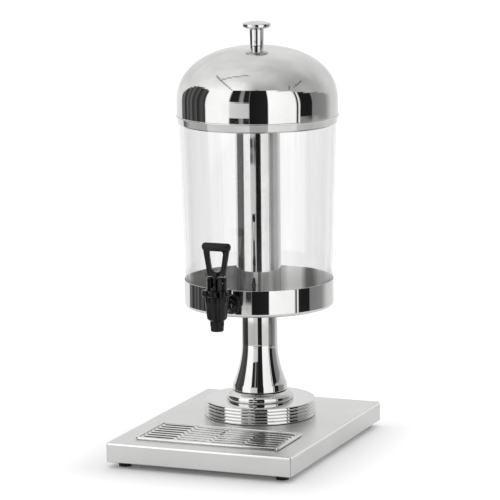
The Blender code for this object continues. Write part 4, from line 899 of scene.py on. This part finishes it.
pin_y, pin_z = -107.5, 243.05
tongue = filleted([(pin_y - 3.2, pin_z - 3.2, 3.0), (pin_y + 3.2, pin_z - 3.2, 3.0),
                   (pin_y + 2.6, pin_z + 3.2, 0), (pin_y + 2.6, neck_low, 0),
                   (tap_y - 2.4, neck_low + 0.1, 0), (tap_y - 2.4, neck_low + 3.0, 0),
                   (pin_y + 2.0, pin_z + 14.0, 1.0), (pin_y - 3.2, neck_low + 0.6, 1.5)], 6)
slab_piece("handle_tongue", tongue, 3.0, 0.4)
prong = [(pin_y + 1.0, pin_z - 1.5), (tap_y + 1.0, pin_z - 1.5), (tap_y + 1.0, pin_z + 1.5),
         (pin_y + 1.0, pin_z + 1.5)]
for side_name, prong_x in (("left", -2.3), ("right", 2.3)):
    slab_piece("handle_prong_" + side_name, prong, 0.6, 0.1, prong_x)


# Floor
# A pale seamless table top that keeps the object's soft shadow. Past its edge, polished metal
# sees the studio instead.

floor_reach = 0.62


def pale_floor():
    """A large disc at floor level, as rings that widen outwards."""
    reach = np.array([0.0, 0.3, floor_reach, 1.5, 6.0, 20.0])[:, None]
    angle = np.linspace(0, 2 * math.pi, 96, endpoint=False)[None]
    return np.stack([reach * np.sin(angle), reach * np.cos(angle), 0 * reach * angle], axis=-1)


def floor_finish(name):
    """Matt white card. Away from the object it glows a little for the camera, so that it
    reads as pure white, and behind the tank's walls it is plain white."""
    made, tree, shader = new_material(name)
    grain = spread(tree, stretched_noise(tree, (4, 4, 4)), 0, 1)
    fill(shader, {"Base Color": blend_colours(tree, grain, "#f7f7f7", "#fafafa"),
                  "Roughness": 0.9, "Specular IOR Level": 0.1})
    path = add(tree, "LightPath")
    seen = add(tree, "Math", {0: path.outputs["Is Transmission Ray"], 1: 0.6,
                              2: path.outputs["Is Camera Ray"]}, operation="MULTIPLY_ADD")
    where = add(tree, "TexCoord").outputs["Object"]
    flat = add(tree, "VectorMath", {0: where, 1: (1, 1, 0)}, operation="MULTIPLY")
    clear_of = add(tree, "VectorMath", {0: flat}, operation="ABSOLUTE")
    plate_edge = (plate_width * MM / 2, plate_depth * MM / 2, 0)
    clear_of = add(tree, "VectorMath", {0: clear_of, 1: plate_edge}, operation="SUBTRACT")
    clear_of = add(tree, "VectorMath", {0: clear_of, 1: (0, 0, 0)}, operation="MAXIMUM")
    clear_of = add(tree, "VectorMath", {0: clear_of}, operation="LENGTH").outputs["Value"]
    strength = product(tree, seen, spread(tree, clear_of, 0.05, 0.2, 0.01, 0.09))
    glow = add(tree, "Emission", {"Color": (1, 1, 1, 1), "Strength": strength})
    lit = add(tree, "AddShader", {0: shader, 1: glow})
    past_tank = add(tree, "Math", {0: path.outputs["Transmission Depth"], 1: through_tank},
                    operation="GREATER_THAN")
    white = add(tree, "Emission", {"Strength": 0.98})
    lit = add(tree, "MixShader", {0: past_tank, 1: lit, 2: white})
    away = add(tree, "VectorMath", {0: flat}, operation="LENGTH").outputs["Value"]
    outside = add(tree, "Math", {0: away, 1: floor_reach}, operation="GREATER_THAN")
    mirrored = add(tree, "Math", {0: path.outputs["Glossy Depth"], 1: 0.5},
                   operation="GREATER_THAN")
    choice = add(tree, "MixShader", {0: product(tree, outside, mirrored), 1: lit,
                                     2: add(tree, "BsdfTransparent")})
    fill(tree.nodes["Material Output"], {"Surface": choice})
    return made


floor_grid = pale_floor()
floor_mesh = bpy.data.meshes.new("pale_table_top")
floor_mesh.from_pydata(floor_grid.reshape(-1, 3), [],
                       grid_faces(*floor_grid.shape[:2], True, False)[:, ::-1].tolist())
floor_mesh.materials.append(floor_finish("matt_white_card"))
floor = bpy.data.objects.new("pale_table_top", floor_mesh)
bpy.context.collection.objects.link(floor)


# Camera
# A long lens from four metres away, a little above the tank's middle, turned towards the tap's
# right side and shifted as the picture is cropped. Angles are in degrees.

camera_turn, camera_rise, camera_roll, camera_away = 21.753, 9.92, -0.599, 4.155
picture, focal_pixels, shift_pixels, sensor_width = 500, 3105.3, (4.93, 0.21), 36.0
a, e, k = (math.radians(v) for v in (camera_turn, camera_rise, camera_roll))
back = np.array([math.sin(a) * math.cos(e), -math.cos(a) * math.cos(e), math.sin(e)])
side = np.array([math.cos(a), math.sin(a), 0.0])
over = np.cross(back, side)
right = side * math.cos(k) + over * math.sin(k)
up = -side * math.sin(k) + over * math.cos(k)
target = np.array([0.0, 0.0, 0.2686])
lens = bpy.data.cameras.new("studio_camera")
lens.sensor_width = sensor_width
lens.lens = focal_pixels / picture * sensor_width
lens.shift_x, lens.shift_y = (pixels / picture for pixels in shift_pixels)
lens.clip_end = 100.0
camera = bpy.data.objects.new("studio_camera", lens)
place = np.eye(4)
place[:3] = np.column_stack([right, up, back, target + back * camera_away])
camera.matrix_world = Matrix(place.tolist())
bpy.context.collection.objects.link(camera)
bpy.context.scene.camera = camera


# Studio light
# A white tent lit from all sides, with an opening for the camera, seen by polished metal as
# bright walls, dark gaps and a soft grey ceiling. Matt surfaces see only its even light.

world = bpy.data.worlds.new("white_tent")
bpy.context.scene.world = world
world.use_nodes = True
sky = world.node_tree
sky.nodes.clear()
where = add(sky, "TexCoord").outputs["Generated"]


def share_along(way):
    """How far the direction that is looked up runs along another, from -1 to 1."""
    return add(sky, "VectorMath", {0: where, 1: way}, operation="DOT_PRODUCT").outputs["Value"]


ahead = share_along((math.sin(a), -math.cos(a), 0))
aside = share_along((math.cos(a), math.sin(a), 0))
heading = add(sky, "Math", {0: aside, 1: ahead}, operation="ARCTAN2")
height = add(sky, "Math", {0: share_along((0, 0, 1))}, operation="ARCSINE")


def heading_ramp(stops):
    """Grey levels round the horizon, from pairs of heading in degrees and level."""
    ramp = add(sky, "ValToRGB", {"Fac": spread(sky, heading, 0, 1, -math.pi, math.pi)})
    marks = ramp.color_ramp.elements
    marks[0].position, marks[1].position = 0.0, 1.0
    for degrees, level in stops[1:-1]:
        marks.new((degrees + 180) / 360)
    for mark, (degrees, level) in zip(marks, stops):
        mark.color = (level, level, level, 1)
    return ramp.outputs["Color"]


def blend(factor, first, second):
    """Run from the first source to the second as the factor goes from 0 to 1."""
    return add(sky, "Mix", {"Factor": factor, "A": first, "B": second})


def fade(source, start, end):
    """0 before a source reaches start, in degrees, and 1 past end."""
    return spread(sky, source, 0, 1, math.radians(start), math.radians(end))


def band(ends):
    """1 between two elevations, with a straight run at both, from four elevations in degrees."""
    return window(sky, height, *(math.radians(degrees) for degrees in ends))


walls = heading_ramp([(-180, 0.95), (-137, 0.95), (-134, 0.12), (-127, 0.18), (-125, 0.04),
                      (-119, 0.06), (-117.5, 0.22), (-115, 0.04), (-108, 0.16), (-105, 0.03),
                      (-97, 0.12), (-95, 0.02), (-86, 0.10), (-80, 0.03), (-78.5, 1.3),
                      (-41, 1.3), (-40.5, 0.90), (-12, 0.72), (-11.5, 0.012), (14.2, 0.02),
                      (14.7, 1.3), (56, 1.2), (57, 0.03), (59.2, 0.03), (60, 1.1), (62, 1.0),
                      (63, 0.015), (83, 0.015), (84, 0.24), (112, 0.32), (128, 0.75),
                      (180, 0.95)])
inset = heading_ramp([(-180, 0.0), (-41, 0.0), (-40.6, 1.0), (-27, 1.0), (-26, 0.6), (-21, 0.6),
                      (-20, 1.0), (-12, 1.0), (-11.6, 0.0), (180, 0.0)])
wall_light = blend(product(sky, inset, fade(height, 8, 9)), walls, 0.02)
under_inset = add(sky, "Math", {0: band((-7.84, -7.87, -8.2, -8.24)),
                                1: band((-10.4, -10.44, -10.93, -10.98))}, operation="MAXIMUM")
wall_light = blend(product(sky, inset, under_inset), wall_light, 0.02)
right_side = heading_ramp([(-180, 0), (60, 0), (63, 0.35), (112, 0.35), (128, 0), (180, 0)])
wall_light = blend(product(sky, right_side, band((-7.75, -7.9, -10.2, -10.35))), wall_light, 0.8)
floor_edge = heading_ramp([(-180, 0.9), (-137, 0.9), (-134, 0.12), (-105, 0.05), (-80, 0.04),
                           (-78.5, 0.66), (-40, 0.55), (-12, 0.62), (-11.5, 0.015), (14.2, 0.02),
                           (14.7, 0.86), (58, 0.8), (60, 0.32), (83, 0.16), (100, 0.26), (112, 0.4),
                           (128, 0.75), (180, 0.9)])
wall_light = blend(fade(height, -11.15, -11.3), wall_light, floor_edge)
table = spread(sky, wall_light, 0.48, 1.2, 0.0, 1.3)
wall_light = blend(fade(height, -13, -14.5), wall_light, table)

wall_top = heading_ramp([(degrees, rise / 90) for degrees, rise in (
    (-180, 0), (-150, 0), (-135, 3), (-121, 16), (-107, 26), (-92, 28), (-80, 27), (-57, 36),
    (-30, 40), (0, 42), (25, 38.5), (51, 31), (78, 21), (93, 17), (107, 11), (120, 5), (135, 1),
    (180, 0))])
above = add(sky, "Math", {0: height, 1: product(sky, wall_top, math.pi / 2)},
            operation="SUBTRACT")
over_walls = spread(sky, above, 0, 1, -0.012, 0.012)
cloth = spread(sky, aside, 1.0, 0.52, -0.5, 0.6)
behind = spread(sky, ahead, 0, 1, -0.1, -0.85)
folds = add(sky, "TexNoise", {"Vector": where, "Scale": 2.2, "Detail": 2.0}).outputs["Fac"]
ceiling = product(sky, blend(behind, cloth, 0.84), spread(sky, folds, 0.9, 1.1))


def towards(degrees, rise):
    """Direction at a heading from the camera's side and at an elevation."""
    turned, raised = math.radians(degrees), math.radians(rise)
    level = math.cos(raised)
    return np.array([math.sin(a + turned) * level, -math.cos(a + turned) * level, math.sin(raised)])


def seam(start, end, width):
    """1 along a straight seam of the tent's cloth between two directions, and 0 elsewhere."""
    first, second = towards(*start), towards(*end)
    across, middle = np.cross(first, second), first + second
    across, middle = across / np.linalg.norm(across), middle / np.linalg.norm(middle)
    off = add(sky, "Math", {0: share_along(across)}, operation="ABSOLUTE")
    within = float(first @ middle)
    return product(sky, spread(sky, off, 1, 0, width / 2, width),
                   spread(sky, share_along(middle), 0, 1, within, within + 0.01))


panels = heading_ramp([(-180, 1), (-95, 1), (-78, 1.2), (-28, 1.25), (-8, 0.74), (28, 0.76),
                       (44, 1), (180, 1)])
ceiling = product(sky, ceiling, blend(spread(sky, above, 1, 0, 0.1, 0.42), 1.0, panels))
for start, end, width, shade in (((-43, 38), (-108, 52), 0.022, 0.3),
                                 ((-85, 51), (-40, 79), 0.04, 0.5),
                                 ((64, 38), (95, 44), 0.022, 0.3),
                                 ((52, 33), (62, 46), 0.022, 0.3)):
    ceiling = blend(seam(start, end, width), ceiling, product(sky, ceiling, shade))
tent = blend(over_walls, wall_light, ceiling)

path = add(sky, "LightPath")
mirrored = add(sky, "Math", {0: path.outputs["Glossy Depth"], 1: 0.5}, operation="GREATER_THAN")
unscattered = add(sky, "Math", {0: path.outputs["Diffuse Depth"], 1: 0.5}, operation="LESS_THAN")
straight = add(sky, "Math", {0: path.outputs["Is Camera Ray"],
                             1: path.outputs["Is Transmission Ray"]}, operation="MAXIMUM")
from_behind = add(sky, "Math", {0: ahead, 1: -0.6, 2: 1.0}, operation="MULTIPLY_ADD")
from_behind = add(sky, "Math", {0: aside, 1: 0.15, 2: from_behind}, operation="MULTIPLY_ADD")
in_tank = add(sky, "Math", {0: path.outputs["Transmission Depth"], 1: through_tank},
              operation="GREATER_THAN")
tank_light = 4.6  # evens out what the tank's faces take from the light on what stands behind them
even_light = blend(straight, blend(in_tank, from_behind, tank_light), 1.0)
light = blend(product(sky, mirrored, unscattered), even_light, tent)
shine = add(sky, "Background", {"Color": (1, 1, 1, 1), "Strength": light})
add(sky, "OutputWorld", {"Surface": shine})

bpy.context.scene.view_settings.view_transform = "Standard"
